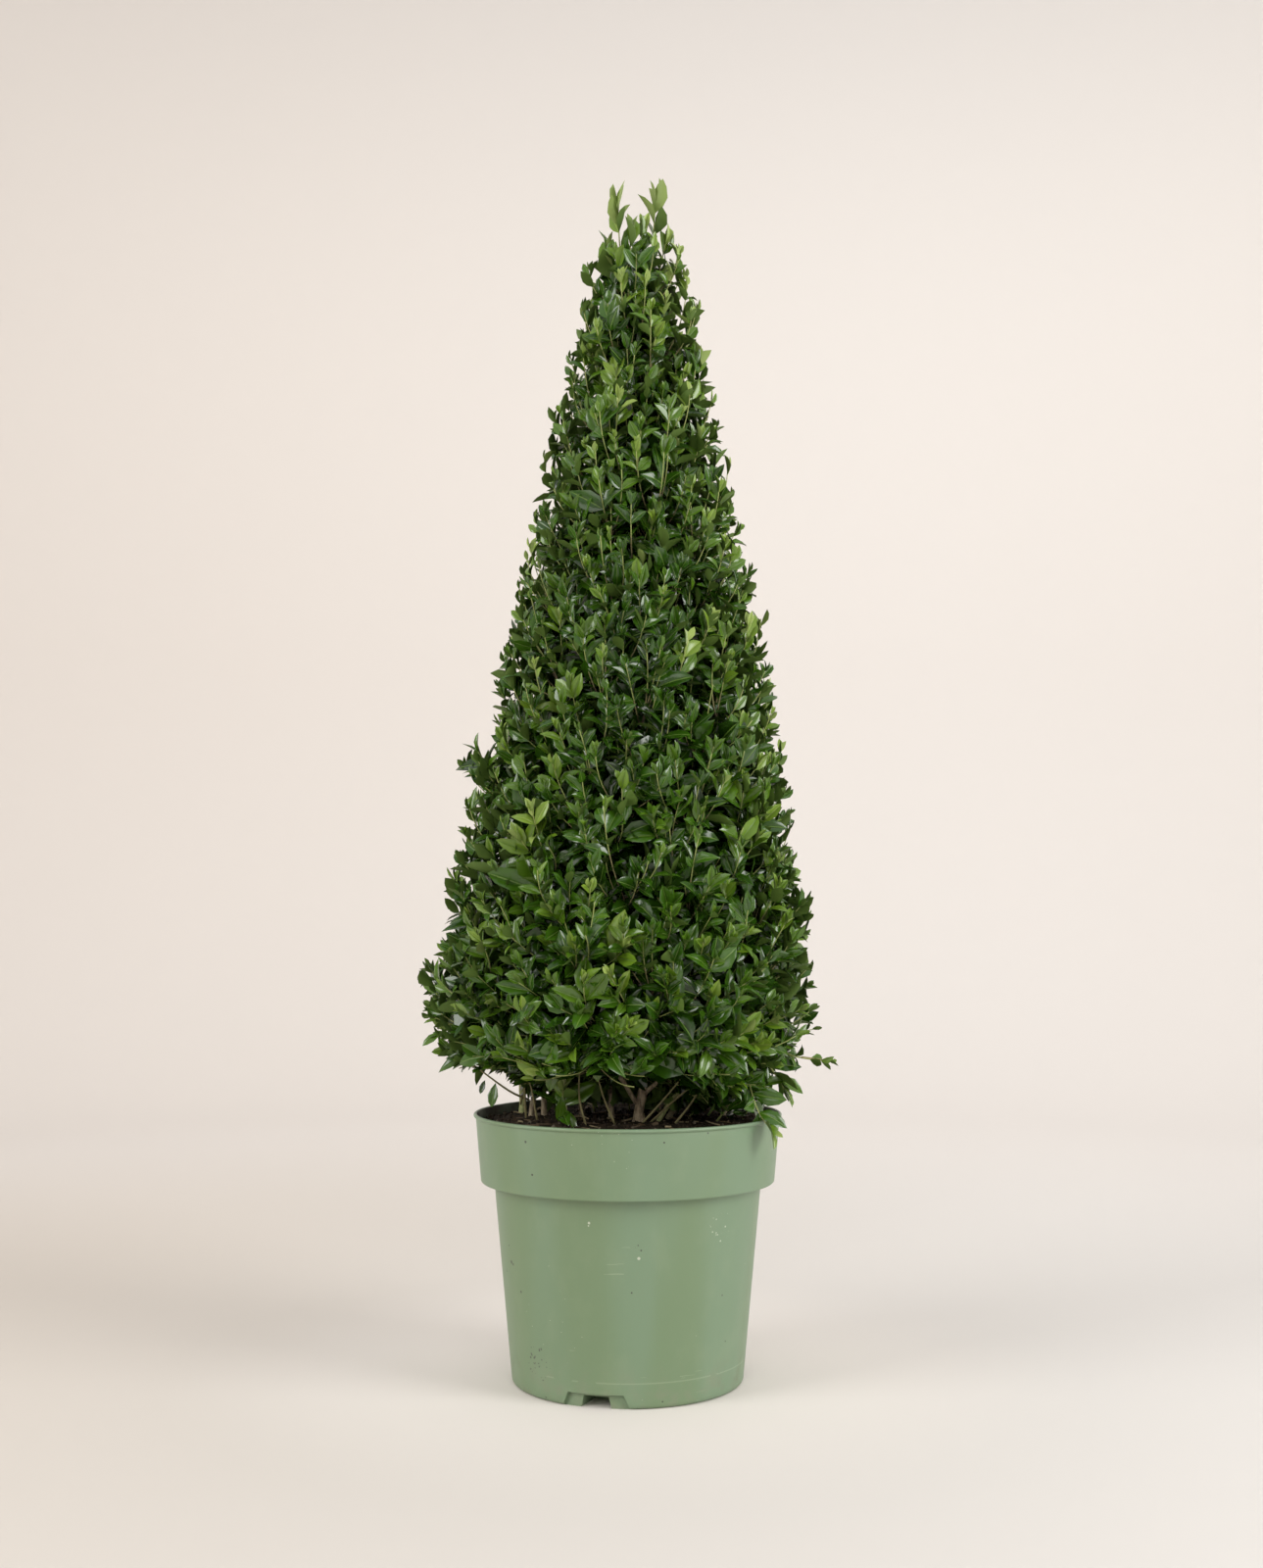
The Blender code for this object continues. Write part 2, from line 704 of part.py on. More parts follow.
def leaf_pairs(path, places, roll, size, rng):
    """The corners of the leaves on a path: crossed pairs at its places, and one leaf at its tip."""
    leaves = []
    for order, place in enumerate(places):
        base, direction = along_path(path, place)
        across = shoot_side(direction, roll + order * math.pi / 2)
        for sign in (-1, 1):
            spread = PAIR_SPREAD * rng.uniform(0.8, 1.2)
            along = direction * math.cos(spread) + across * (sign * math.sin(spread))
            leaves.append(leaf_corners(base, along, size * rng.uniform(0.88, 1.08)))
    base, direction = along_path(path, 0.97)
    leaves.append(leaf_corners(base, direction, size * TIP_LEAF_SIZE))
    return leaves


def mass_of(spot):
    """The index of the mass whose space holds a point."""
    index = 0
    while spot.z > seam_z(index + 1, axis_radius(spot)):
        index += 1
    return index


def crown_shoots():
    """Every shoot's root and tip, set by the golden angle round and up the outline, with equal areas each."""
    rng = random.Random(SEED)
    reach = SHOOT_LENGTH + LEAF_LENGTH * TIP_LEAF_SIZE
    shoots = []
    for i in range(SHOOT_COUNT):
        radius, z, rise = outline_station((i + 0.5) / SHOOT_COUNT)
        angle = i * GOLDEN_ANGLE + rng.uniform(-0.10, 0.10)
        z += rng.uniform(-0.006, 0.006)
        radius += unevenness(angle, z) + rng.uniform(-0.004, 0.003)
        rise = math.radians(rise + rng.uniform(-9.0, 9.0))
        direction = around(math.cos(rise), angle + rng.uniform(-0.35, 0.35), math.sin(rise))
        root = on_crown(radius - SIDE_LEAF_OVERHANG, angle, z) - direction * reach
        shoots.append((root, root + direction * SHOOT_LENGTH))
    return shoots


def grow_crown_shoots(index, lines, growth):
    """The shoots of one mass, leaving out any twig or leaf that would reach another mass, a limb or the pot."""
    rng = random.Random(SEED + 1)
    for i, path in enumerate(crown_shoots()):
        leaves = leaf_pairs(path, PAIR_PLACES, rng.uniform(0.0, math.pi), 1.0, rng)
        root, tip = path
        stem = [root.lerp(tip, share) for share in (0.0, 0.25, 0.5, 0.75, 1.0)]
        if mass_of(stem[3]) != index or not off_limbs(stem, lines):
            continue
        if not in_own_space(index, stem, SEAM_MARGIN + TWIG_ROOT_RADIUS):
            continue
        add_twig(f"{MASSES[index]}_twig_{i}", root, tip, growth)
        for k, corners in enumerate(leaves):
            spots = leaf_samples(corners)
            if in_own_space(index, spots) and off_limbs(spots, lines):
                add_leaf(f"{MASSES[index]}_leaf_{i}_{k}", corners, growth)


def grow_long_shoots(index, growth):
    """The single long shoots of one mass."""
    rng = random.Random(SEED + 2)
    for name, (mass, points, size) in LONG_SHOOTS.items():
        path = smooth_path(points, 2)
        leaves = leaf_pairs(path, LONG_PAIR_PLACES, 0.5, size, rng)
        if mass != index:
            continue
        radii = taper(len(path), LONG_SHOOT_RADIUS, LONG_SHOOT_TIP_RADIUS)
        limb_as_mesh(f"{name}_twig", path, radii, 0, growth)
        for k, corners in enumerate(leaves):
            add_leaf(f"{name}_leaf_{k}", corners, growth)


def fuse(target, collection):
    """Joins a collection's solids to one object, then removes them."""
    boolean(target, "UNION", collection)
    apply_modifiers(target)
    for thing in list(collection.objects):
        bpy.data.objects.remove(thing)
    bpy.data.collections.remove(collection)


def keep_largest(thing):
    """Drops any loose scrap, and keeps the largest connected piece of a mesh."""
    shape = bmesh.new()
    shape.from_mesh(thing.data)
    left = set(shape.verts)
    islands = []
    while left:
        front = [left.pop()]
        island = set(front)
        while front:
            near = {vert for edge in front.pop().link_edges for vert in edge.verts} & left
            left -= near
            island |= near
            front.extend(near)
        islands.append(island)
    islands.sort(key=len)
    for island in islands[:-1]:
        bmesh.ops.delete(shape, geom=list(island), context="VERTS")
    shape.to_mesh(thing.data)
    shape.free()


def build_crown(parts, helpers, lines):
    """The five masses, each a core cut clear of the trunk with its shoots fused on."""
    path, radii = trunk_line()
    sides = 4 + 2 * TRUNK_BEVEL
    bore_radii = [radius / math.cos(math.pi / sides) + CLEARANCE for radius in radii]
    bore_path = [*path[:-1], path[-1] + Vector((0.0, 0.0, CLEARANCE))]
    for index, name in enumerate(MASSES):
        core = build_core(index, parts)
        bore = limb_as_mesh(f"{name}_bore", bore_path, bore_radii, TRUNK_BEVEL, helpers)
        boolean(core, "DIFFERENCE", as_helper(bore))
        apply_modifiers(core)
        growth = new_collection(f"{name}_growth")
        grow_crown_shoots(index, lines, growth)
        grow_long_shoots(index, growth)
        fuse(core, growth)
        keep_largest(core)
        core.data.materials.clear()
        core.data.materials.append(finish_of("leaves"))


def main():
    """Builds the pot, the soil, the limbs and the foliage."""
    clear_scene()
    parts = new_collection("holly_pyramid")
    helpers = new_collection("cutters")
    build_pot(parts, helpers)
    build_soil(parts)
    lines = build_limbs(parts)
    build_crown(parts, helpers, lines)


main()
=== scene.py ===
"""Looks of a clipped box-leaved holly pyramid in its nursery pot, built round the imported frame.

The pot, the compost, the limbs and the foliage are surfaces worked out as whole arrays. The foliage
follows the growth rule of the part's source, carried on to life-size twigs and leaves. Lengths are in
metres, angles in radians unless a comment says degrees.
"""

import math

import bpy
import numpy as np
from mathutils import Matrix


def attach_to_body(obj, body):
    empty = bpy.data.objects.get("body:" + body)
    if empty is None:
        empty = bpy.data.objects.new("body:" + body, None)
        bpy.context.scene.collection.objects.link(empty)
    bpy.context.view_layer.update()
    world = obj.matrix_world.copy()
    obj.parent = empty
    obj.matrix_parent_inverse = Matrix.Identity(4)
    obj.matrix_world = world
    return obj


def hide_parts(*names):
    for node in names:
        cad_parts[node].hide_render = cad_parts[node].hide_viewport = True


bl_info = {
    "name": "Potted holly pyramid",
    "version": (1, 0, 0),
    "blender": (4, 5, 0),
    "location": "3D View > Sidebar > Topiary",
    "description": "Builds a clipped small-leaved pyramid in its nursery pot",
    "category": "Add Mesh",
}

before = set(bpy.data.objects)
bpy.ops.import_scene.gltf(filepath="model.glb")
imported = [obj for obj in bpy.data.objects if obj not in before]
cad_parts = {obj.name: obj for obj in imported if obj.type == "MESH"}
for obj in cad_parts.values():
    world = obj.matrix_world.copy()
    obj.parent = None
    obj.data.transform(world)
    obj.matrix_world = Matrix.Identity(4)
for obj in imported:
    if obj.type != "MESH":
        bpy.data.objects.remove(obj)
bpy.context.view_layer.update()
GOLDEN_ANGLE = math.pi * (3.0 - math.sqrt(5.0))

# The clipped outline that the leaf tips reach: radius, height, and how steeply the shoots there rise.
OUTLINE = np.array(
    (
        (0.085, 0.296, -34.0),
        (0.138, 0.276, -20.0),
        (0.170, 0.304, -2.0),
        (0.183, 0.350, 20.0),
        (0.176, 0.470, 42.0),
        (0.148, 0.630, 50.0),
        (0.116, 0.780, 58.0),
        (0.083, 0.940, 65.0),
        (0.062, 1.050, 72.0),
        (0.055, 1.092, 78.0),
        (0.043, 1.119, 82.0),
        (0.027, 1.132, 86.0),
        (0.006, 1.140, 90.0),
    )
)
# Where the clipping left it fuller or thinner: side, height, spread up and down, extra radius.
LOBES = (
    (-90.0, 0.385, 0.044, 0.026),
    (-90.0, 0.475, 0.030, 0.006),
    (-90.0, 0.600, 0.020, 0.015),
    (-90.0, 0.640, 0.016, -0.013),
    (-90.0, 1.085, 0.016, 0.005),
    (90.0, 0.318, 0.026, -0.006),
    (90.0, 0.508, 0.030, -0.013),
    (90.0, 0.640, 0.030, 0.006),
    (90.0, 1.085, 0.022, -0.010),
    (90.0, 1.124, 0.012, 0.006),
    (-90.0, 1.130, 0.010, 0.004),
    (90.0, 0.775, 0.026, 0.009),
    (90.0, 0.408, 0.018, -0.006),
    (90.0, 0.722, 0.012, -0.006),
    (-90.0, 0.958, 0.020, 0.006),
)
LOBE_WIDTH = math.radians(42.0)
# How far the crown's middle leans towards +X for each metre over the soil.
CROWN_LEAN = 0.0125
# The cones that part the masses: height in the middle, and rise for each metre of radius.
SEAMS = ((0.334, 0.85), (0.505, 1.0), (0.640, 1.3), (0.800, 1.6))
MASSES = ("skirt", "lower", "middle", "upper", "tip")
SOIL_TOP = 0.243
CLEARANCE = 0.0003
UNDERSIDE_Z = 0.305

# The trunk's points, and each side stem: foot, where it enters the crown, radius at the foot.
TRUNK_PATH = (
    (0.011, -0.014, SOIL_TOP - 0.004),
    (0.011, -0.014, 0.256),
    (0.015, -0.011, 0.288),
    (0.007, 0.000, 0.360),
    (0.006, 0.000, 0.560),
    (0.009, 0.000, 0.800),
    (0.011, 0.000, 1.020),
)
TRUNK_RADIUS = 0.0046
TRUNK_TIP_RADIUS = 0.0016
SIDE_STEMS = {
    "stem_left_green": ((-0.106, 0.062), (-0.108, 0.046), 0.0036),
    "stem_left_brown": ((-0.096, 0.040), (-0.088, 0.030), 0.0030),
    "stem_left_inner": ((-0.083, 0.026), (-0.084, 0.018), 0.0027),
    "stem_front_left": ((-0.060, -0.030), (-0.061, -0.044), 0.0022),
    "stem_back_left": ((-0.046, 0.050), (-0.052, 0.070), 0.0031),
    "stem_centre_left": ((-0.016, 0.012), (-0.020, 0.026), 0.0028),
    "stem_right_pale": ((0.030, -0.010), (0.074, -0.040), 0.0022),
    "stem_right_brown": ((0.040, 0.012), (0.086, -0.004), 0.0027),
    "stem_right_back": ((0.096, 0.040), (0.104, 0.046), 0.0034),
    "stem_back": ((0.030, 0.074), (0.036, 0.092), 0.0032),
}
BOUGHS = {"bough_left": (0.262, (-0.014, -0.030), 0.0019), "bough_right": (0.272, (0.046, -0.030), 0.0021)}
# Limbs with green bark, and those of them whose slot name, passed on to attach, is green bark too.
GREEN_LIMBS = ("stem_left_green", "stem_front_left", "stem_right_pale")
GREEN_SLOT_LIMBS = GREEN_LIMBS[:2]
LIMB_TIP_SHARE = 0.75
# A limb's sides, its rings where it shows, and its waves, ridges and root flare as shares of its radius.
TRUNK_FORM = (20, 56, 0.055, 0.060, 0.75)
STEM_FORM = (12, 34, 0.035, 0.030, 0.40)
UPPER_RINGS = 30
# Under this height the stems are in view, so limbs are finer there and twigs keep level.
STEMS_SHOW_Z = 0.345
CROWN_TOP_Z = 1.14

# The pot's profile, as in the part's source.
LIP_HEIGHT = 0.0042
LIP_ROUND = 0.0018
BAND_TOP_RADIUS = 0.1478
BAND_FOOT_RADIUS = 0.1425
BAND_FOOT_Z = 0.1907
BAND_ROUND = 0.0016
SHOULDER_Z = 0.1888
BODY_TOP_RADIUS = 0.1295
FOOT_ROUND = 0.0045
WALL = 0.0022

# Its drains: half widths at the ground and at the top, heights, and the radii that they reach in to.
DRAIN_COUNT = 3
FIRST_DRAIN_ANGLE = math.radians(-15.3)
RECESS_HALVES = (0.0325, 0.0262)
CHANNEL_HALVES = (0.0148, 0.0116)
CHANNEL_ROOF = 0.0105
RECESS_TOP = 0.0130
CHANNEL_END_RADIUS = 0.078
RECESS_RADIUS = 0.1075

# The compost and what lies on it: how far out each may reach.
COMPOST_RADIUS = 0.1447
COMPOST_UNDER_Z = SOIL_TOP - 0.0050
LITTER_EDGE = 0.142
CRUMB_REACH = 0.141
TWIG_REACH = 0.132
FALLEN_REACH = 0.134
FALLEN_COUNT = 60

# A full leaf's length where the size is 1, and the leaf length setting that gives that size.
FULL_LEAF = 0.0250
LEAF_LENGTH = 0.0245
LEAF_THICKNESS = 0.00028

# Leaf pairs of a shoot, counted from its tip: distance from the tip, size, and degrees off the shoot.
OUTER_PAIRS = (
    (0.0012, 0.0075, 0.0165, 0.0270, 0.0380, 0.0500),
    (0.46, 0.74, 0.94, 1.03, 1.0, 0.95),
    (14.0, 27.0, 38.0, 47.0, 54.0, 60.0),
)
SHADED_PAIRS = (
    (0.002, 0.011, 0.021, 0.031, 0.041, 0.051),
    (0.8, 1.0, 1.05, 1.05, 1.0, 1.0),
    (24.0, 48.0, 64.0, 70.0, 75.0, 78.0),
)
SHADED_SIZE = 1.12
SHADED_YOUTH = 0.06
# How deep under the outline the shoots' tips lie, and how far past it a leaf's tip may reach.
OUTER_DEPTHS = (0.0, 0.0, 0.002, 0.006, 0.012, 0.022)
SHADED_DEPTHS = (0.030, 0.042, 0.056)
OUTER_REACH = 0.007
SHADED_REACH = -0.012

# Points read along a limb, points of a bough or twig and of a loose shoot, and the sides of thin tubes.
LIMB_READS = 60
TWIG_POINTS = 9
SHOOT_POINTS = 13
TUBE_SIDES = 6
TWIG_SIDES = 4
# Radii of the tips of boughs, twigs and loose shoots, and of the feet of loose shoots and bare twigs.
BOUGH_TIP = 0.0007
TWIG_TIP = 0.00042
SHOOT_TIP = 0.00045
SHOOT_FOOT = 0.0010
BARE_TWIG_FOOT = 0.0012

# Loose shoots that stand past the clipped outline: mass, path, size of the leaves, pairs, youth.
LOOSE_SHOOTS = (
    (4, ((-0.002, -0.006, 1.080), (-0.008, -0.008, 1.120), (-0.010, -0.009, 1.163)), 1.40, 5, 0.95),
    (4, ((0.018, 0.002, 1.080), (0.025, 0.002, 1.125), (0.028, 0.001, 1.170)), 1.20, 4, 0.88),
    (4, ((0.008, -0.010, 1.070), (0.012, -0.012, 1.110), (0.015, -0.014, 1.136)), 1.15, 4, 0.55),
    (4, ((0.026, -0.004, 1.060), (0.033, -0.006, 1.100), (0.038, -0.008, 1.124)), 1.10, 4, 0.50),
    (4, ((-0.012, -0.012, 1.050), (-0.016, -0.016, 1.085), (-0.018, -0.018, 1.106)), 1.20, 4, 0.45),
    (4, ((0.000, -0.020, 1.050), (0.002, -0.026, 1.092), (0.003, -0.029, 1.122)), 1.20, 4, 0.50),
    (
        0,
        ((0.104, -0.056, 0.318), (0.113, -0.066, 0.292), (0.121, -0.080, 0.264), (0.133, -0.092, 0.246)),
        0.85,
        5,
        0.50,
    ),
    (0, ((-0.116, 0.022, 0.318), (-0.142, 0.014, 0.302), (-0.178, 0.004, 0.312)), 0.9, 6, 0.40),
    (0, ((-0.120, 0.000, 0.352), (-0.160, 0.000, 0.336), (-0.194, -0.002, 0.346)), 0.95, 6, 0.44),
    (0, ((-0.118, 0.016, 0.330), (-0.150, 0.012, 0.316), (-0.184, 0.002, 0.328)), 0.85, 5, 0.38),
    (0, ((0.135, -0.020, 0.321), (0.162, -0.022, 0.309), (0.196, -0.024, 0.304)), 0.62, 6, 0.42),
    (0, ((0.130, 0.004, 0.338), (0.160, 0.000, 0.330), (0.182, -0.004, 0.334)), 0.85, 5, 0.36),
    (0, ((0.118, -0.026, 0.320), (0.138, -0.031, 0.298), (0.150, -0.034, 0.279)), 0.9, 5, 0.40),
    (0, ((-0.061, -0.044, 0.268), (-0.062, -0.056, 0.295), (-0.058, -0.068, 0.327)), 1.1, 4, 0.66),
    (0, ((-0.060, -0.034, 0.246), (-0.062, -0.046, 0.262), (-0.060, -0.060, 0.280)), 1.15, 4, 0.50),
    (1, ((-0.112, -0.026, 0.560), (-0.132, -0.030, 0.582), (-0.146, -0.034, 0.604)), 1.1, 4, 0.30),
    (0, ((0.060, 0.010, 0.246), (0.070, 0.004, 0.264), (0.084, -0.006, 0.290)), 0.95, 5, 0.22),
    (0, ((0.080, 0.030, 0.246), (0.088, 0.020, 0.266), (0.094, 0.004, 0.294)), 0.95, 5, 0.16),
    (0, ((0.098, 0.020, 0.246), (0.108, 0.008, 0.264), (0.120, -0.004, 0.290)), 0.95, 5, 0.24),
    (0, ((0.086, -0.020, 0.247), (0.096, -0.030, 0.262), (0.108, -0.040, 0.286)), 0.90, 5, 0.30),
    (0, ((0.112, -0.004, 0.247), (0.119, -0.018, 0.264), (0.124, -0.034, 0.288)), 0.90, 5, 0.26),
    (0, ((0.070, 0.050, 0.246), (0.078, 0.046, 0.270), (0.084, 0.040, 0.300)), 1.00, 5, 0.12),
    (0, ((0.116, 0.030, 0.247), (0.122, 0.022, 0.264), (0.128, 0.010, 0.288)), 0.90, 5, 0.18),
    (0, ((-0.034, 0.078, 0.246), (-0.040, 0.072, 0.272), (-0.046, 0.062, 0.304)), 1.00, 5, 0.10),
    (0, ((0.002, 0.088, 0.246), (-0.002, 0.080, 0.274), (-0.008, 0.070, 0.306)), 1.00, 5, 0.08),
    (0, ((-0.072, 0.066, 0.246), (-0.074, 0.058, 0.270), (-0.070, 0.048, 0.302)), 1.00, 5, 0.12),
    (0, ((0.046, 0.082, 0.246), (0.050, 0.074, 0.272), (0.052, 0.064, 0.304)), 1.00, 5, 0.10),
)
# Bare twigs, which carry no leaves.
BARE_TWIGS = (
    ((-0.098, 0.030, 0.262), (-0.118, 0.022, 0.272), (-0.150, 0.016, 0.296), (-0.174, 0.010, 0.316)),
    ((-0.150, 0.016, 0.296), (-0.158, 0.012, 0.297), (-0.166, 0.008, 0.295)),
    ((0.168, -0.022, 0.308), (0.186, -0.022, 0.306), (0.199, -0.020, 0.304)),
    ((0.036, -0.008, 0.262), (0.058, -0.026, 0.276), (0.082, -0.044, 0.300)),
    ((-0.108, 0.050, 0.256), (-0.104, 0.030, 0.280), (-0.116, 0.012, 0.318)),
    ((0.088, -0.006, 0.270), (0.108, -0.014, 0.286), (0.132, -0.026, 0.308)),
    ((0.014, -0.030, 0.246), (0.034, -0.048, 0.270), (0.062, -0.072, 0.306)),
    ((0.022, -0.024, 0.246), (0.050, -0.046, 0.274), (0.092, -0.066, 0.308)),
    ((0.046, -0.030, 0.246), (0.064, -0.046, 0.272), (0.078, -0.062, 0.304)),
    ((-0.088, -0.006, 0.246), (-0.093, -0.016, 0.276), (-0.102, -0.026, 0.312)),
    ((-0.100, 0.012, 0.246), (-0.101, 0.004, 0.280), (-0.094, -0.008, 0.316)),
    ((-0.040, -0.046, 0.246), (-0.046, -0.056, 0.276), (-0.044, -0.068, 0.312)),
    ((-0.012, -0.040, 0.246), (-0.024, -0.052, 0.276), (-0.032, -0.066, 0.312)),
)
# Single leaves that hang or lie loose: base, direction, upper face, size, youth.
LOOSE_LEAVES = (
    ((-0.128, -0.016, 0.283), (-0.20, -0.25, -1.0), (-0.3, -1.0, 0.3), 1.0, 0.30),
    ((-0.140, 0.004, 0.284), (-0.35, -0.2, -0.9), (-0.4, -1.0, 0.1), 0.6, 0.10),
    ((-0.182, 0.002, 0.331), (-0.85, -0.2, -0.5), (-0.2, -0.8, 0.8), 1.0, 0.45),
    ((-0.062, -0.060, 0.276), (-0.08, 0.0, -1.0), (0.7, -1.0, 0.2), 1.10, 0.52),
    ((-0.068, -0.070, 0.306), (-0.25, 0.0, -1.0), (-0.3, -1.0, 0.3), 1.15, 0.44),
    ((-0.030, -0.070, 0.311), (0.10, -0.1, -1.0), (0.1, -1.0, 0.4), 0.95, 0.62),
    ((-0.060, -0.050, 0.262), (0.45, -0.2, -0.8), (0.5, -1.0, 0.3), 1.05, 0.48),
)
# The rest of such a leaf's form.
LOOSE_LEAF_FORM = {"roll": 0.0, "blunt": 0.3, "droop": 0.3, "fold": 0.15, "curl": 0.0, "arch": 0.25}

# Specks that the pot's wall has picked up: place and radius.
DARK_SPECKS = (
    (-0.0923, -0.1130, 0.2388, 0.0015),
    (-0.0756, -0.1240, 0.2366, 0.0010),
    (-0.0867, -0.1155, 0.2094, 0.0011),
    (0.0722, -0.1275, 0.2484, 0.0014),
    (-0.1087, -0.0570, 0.1206, 0.0017),
    (-0.1070, -0.0600, 0.1190, 0.0012),
    (-0.0988, -0.0685, 0.0956, 0.0012),
    (0.0330, -0.1435, 0.2417, 0.0009),
)
PALE_SPECKS = (
    (-0.0347, -0.1227, 0.1676, 0.0012),
    (-0.0352, -0.1225, 0.1650, 0.0008),
    (0.0103, -0.1238, 0.1365, 0.0014),
    (0.0042, -0.1463, 0.2446, 0.0010),
)

# Spots where the pot has a cluster of fine dark specks, and a dotted pale scuff.
CLUSTER_SPOT = (-0.079, -0.076, 0.034)
SCUFF_SPOT = (0.086, -0.0935, 0.1592)
# The height of the faint seam round the pot's foot.
SEAM_Z = 0.0235
# What lies over the pot's own colour.
POT_TONES = {
    "cloud": (0.280, 0.340, 0.215),
    "dust": (0.230, 0.240, 0.170),
    "speck": (0.050, 0.055, 0.040),
    "cluster": (0.055, 0.060, 0.045),
    "fleck": (0.560, 0.590, 0.480),
    "scuff": (0.420, 0.480, 0.350),
}

# Hollows in the crown: a spot at the outline and the radius round it without leaves.
HOLLOWS = np.array(
    (
        (0.087, -0.097, 0.640, 0.021),
        (0.078, -0.102, 0.664, 0.014),
        (-0.027, -0.142, 0.559, 0.014),
        (0.044, -0.148, 0.526, 0.013),
        (-0.052, -0.110, 0.690, 0.012),
    )
)

# Tones of a leaf's upper face, from the deep old leaves to the palest young ones.
LEAF_TONES = {
    "leaf_deep": ((0.0115, 0.0380, 0.0018), 0.20),
    "leaf_dark": ((0.0215, 0.0690, 0.0032), 0.17),
    "leaf_holly_green": ((0.0375, 0.1040, 0.0050), 0.17),
    "leaf_mid": ((0.0690, 0.1500, 0.0085), 0.19),
    "leaf_bright": ((0.1170, 0.2120, 0.0150), 0.22),
    "leaf_fresh": ((0.1600, 0.2600, 0.0250), 0.28),
    "leaf_young": ((0.2700, 0.3700, 0.0800), 0.34),
}
UNDER_TONES = {
    "leaf_underside": ((0.0950, 0.1600, 0.0300), 0.50),
    "leaf_underside_young": ((0.2400, 0.3250, 0.0880), 0.50),
}
RIB_TONES = {
    "leaf_rib": ((0.1050, 0.1850, 0.0300), 0.40),
    "leaf_rib_young": ((0.2800, 0.3700, 0.0900), 0.42),
}
TWIG_TONES = {
    "twig_old": ((0.1500, 0.1150, 0.0700), 0.75),
    "twig_tan": ((0.3300, 0.2900, 0.1400), 0.60),
    "twig_green": ((0.3300, 0.3700, 0.1250), 0.45),
}
# Bark: fissures, plates, tinge, and the scale of its grain.
BARKS = {
    "bark_brown": ((0.220, 0.170, 0.112), (0.500, 0.405, 0.270), (0.330, 0.330, 0.160), 420.0),
    "bark_green": ((0.290, 0.320, 0.130), (0.500, 0.530, 0.230), (0.480, 0.460, 0.240), 300.0),
}
LITTER_TONES = {
    "litter_twig": ((0.1050, 0.0740, 0.0450), 0.85),
    "litter_leaf": ((0.1500, 0.1060, 0.0520), 0.75),
    "litter_crumb": ((0.0300, 0.0195, 0.0115), 0.95),
    "litter_grit": ((0.1500, 0.1250, 0.0900), 0.80),
    "litter_straw": ((0.2500, 0.2000, 0.1150), 0.70),
}

# A leaf's outline: share of its length, and share of its half width, from the stalk to the blunt tip.
LEAF_STATIONS = ((0.0, 0.0), (0.25, 0.70), (0.52, 1.0), (0.81, 0.62), (1.0, 0.0))
SHADED_STATIONS = ((0.0, 0.0), (0.28, 0.80), (0.68, 0.92), (1.0, 0.0))
RIB_HALF = 0.060

# Studio lights: place, target, size, colour and spread in degrees. Their power is a setting.
LIGHTS = {
    "key": ((2.25, -1.30, 1.40), (0.0, 0.0, 0.55), (1.3, 1.7), (1.0, 1.0, 0.99), 150.0),
    "fill": ((-2.2, -1.30, 1.40), (0.0, 0.0, 0.50), (1.3, 1.7), (1.0, 1.0, 0.99), 150.0),
    "front": ((0.1, -2.7, 1.5), (0.0, 0.0, 0.30), (1.8, 1.2), (1.0, 1.0, 0.99), 150.0),
    "backdrop": ((0.3, 1.0, 2.6), (0.35, 3.5, 1.3), (3.0, 0.7), (1.0, 0.985, 0.945), 180.0),
}
AIR_COLOUR = (1.0, 1.0, 0.995, 1.0)
# Shares of the floor's colour, all painted light: painted shade, darker and warmer, on the floor at the left;
# a painted gradient on the wall, darker far left and lighter far right; painted light round the pot's foot.
FLOOR_PAINTED_LIGHT_SHARES = ((0.90, 0.84, 0.77), (1.035, 1.00, 0.975), (1.10, 1.09, 1.09), (1.13, 1.10, 1.08))
STAGE_SIDES = 96
CAMERA_PLACE = (0.0037, -1.698, 0.4352)
CAMERA_PITCH = 0.0822
CAMERA_LENS = 39.4065


def unit(vectors):
    """Each vector over its own length."""
    return vectors / np.maximum(np.linalg.norm(vectors, axis=-1, keepdims=True), 1e-12)


def around(radius, angle, z):
    """Points at a radius and an angle from the front, turning towards +X: (r sin a, -r cos a, z)."""
    return np.stack(np.broadcast_arrays(radius * np.sin(angle), -radius * np.cos(angle), z), axis=-1)


def crown_axis(z):
    """The crown's middle, which leans by a fixed share of the height over the soil."""
    z = np.asarray(z, float)
    return np.stack((CROWN_LEAN * (z - SOIL_TOP), np.zeros_like(z), z), axis=-1)


def on_crown(radius, angle, z):
    """Points round the crown's leaning middle."""
    return around(radius, angle, 0.0 * z) + crown_axis(z)


def unevenness(angle, z):
    """How far the outline is moved: a bell over angle and height for each lobe, and two slow waves."""
    extra = 0.0022 * np.sin(3.0 * angle + 21.0 * z) + 0.0016 * np.sin(5.0 * angle - 34.0 * z)
    for side, height, spread, rise in LOBES:
        turn = (angle - math.radians(side) + math.pi) % math.tau - math.pi
        extra = extra + rise * np.exp(-((turn / LOBE_WIDTH) ** 2) - ((z - height) / spread) ** 2)
    return extra


def outline_station(share):
    """(radius, height, rise angle) at shares of the outline's turned area, counted from the underside up."""
    steps = np.diff(OUTLINE, axis=0)
    areas = np.hypot(steps[:, 0], steps[:, 1]) * (OUTLINE[1:, 0] + OUTLINE[:-1, 0])
    reached = np.concatenate(([0.0], np.cumsum(areas))) / areas.sum()
    return [np.interp(share, reached, OUTLINE[:, column]) for column in range(3)]


def outline_radius(z):
    """The plain outline's radius at heights above its lowest leaf tips."""
    return np.interp(z, OUTLINE[1:, 1], OUTLINE[1:, 0])


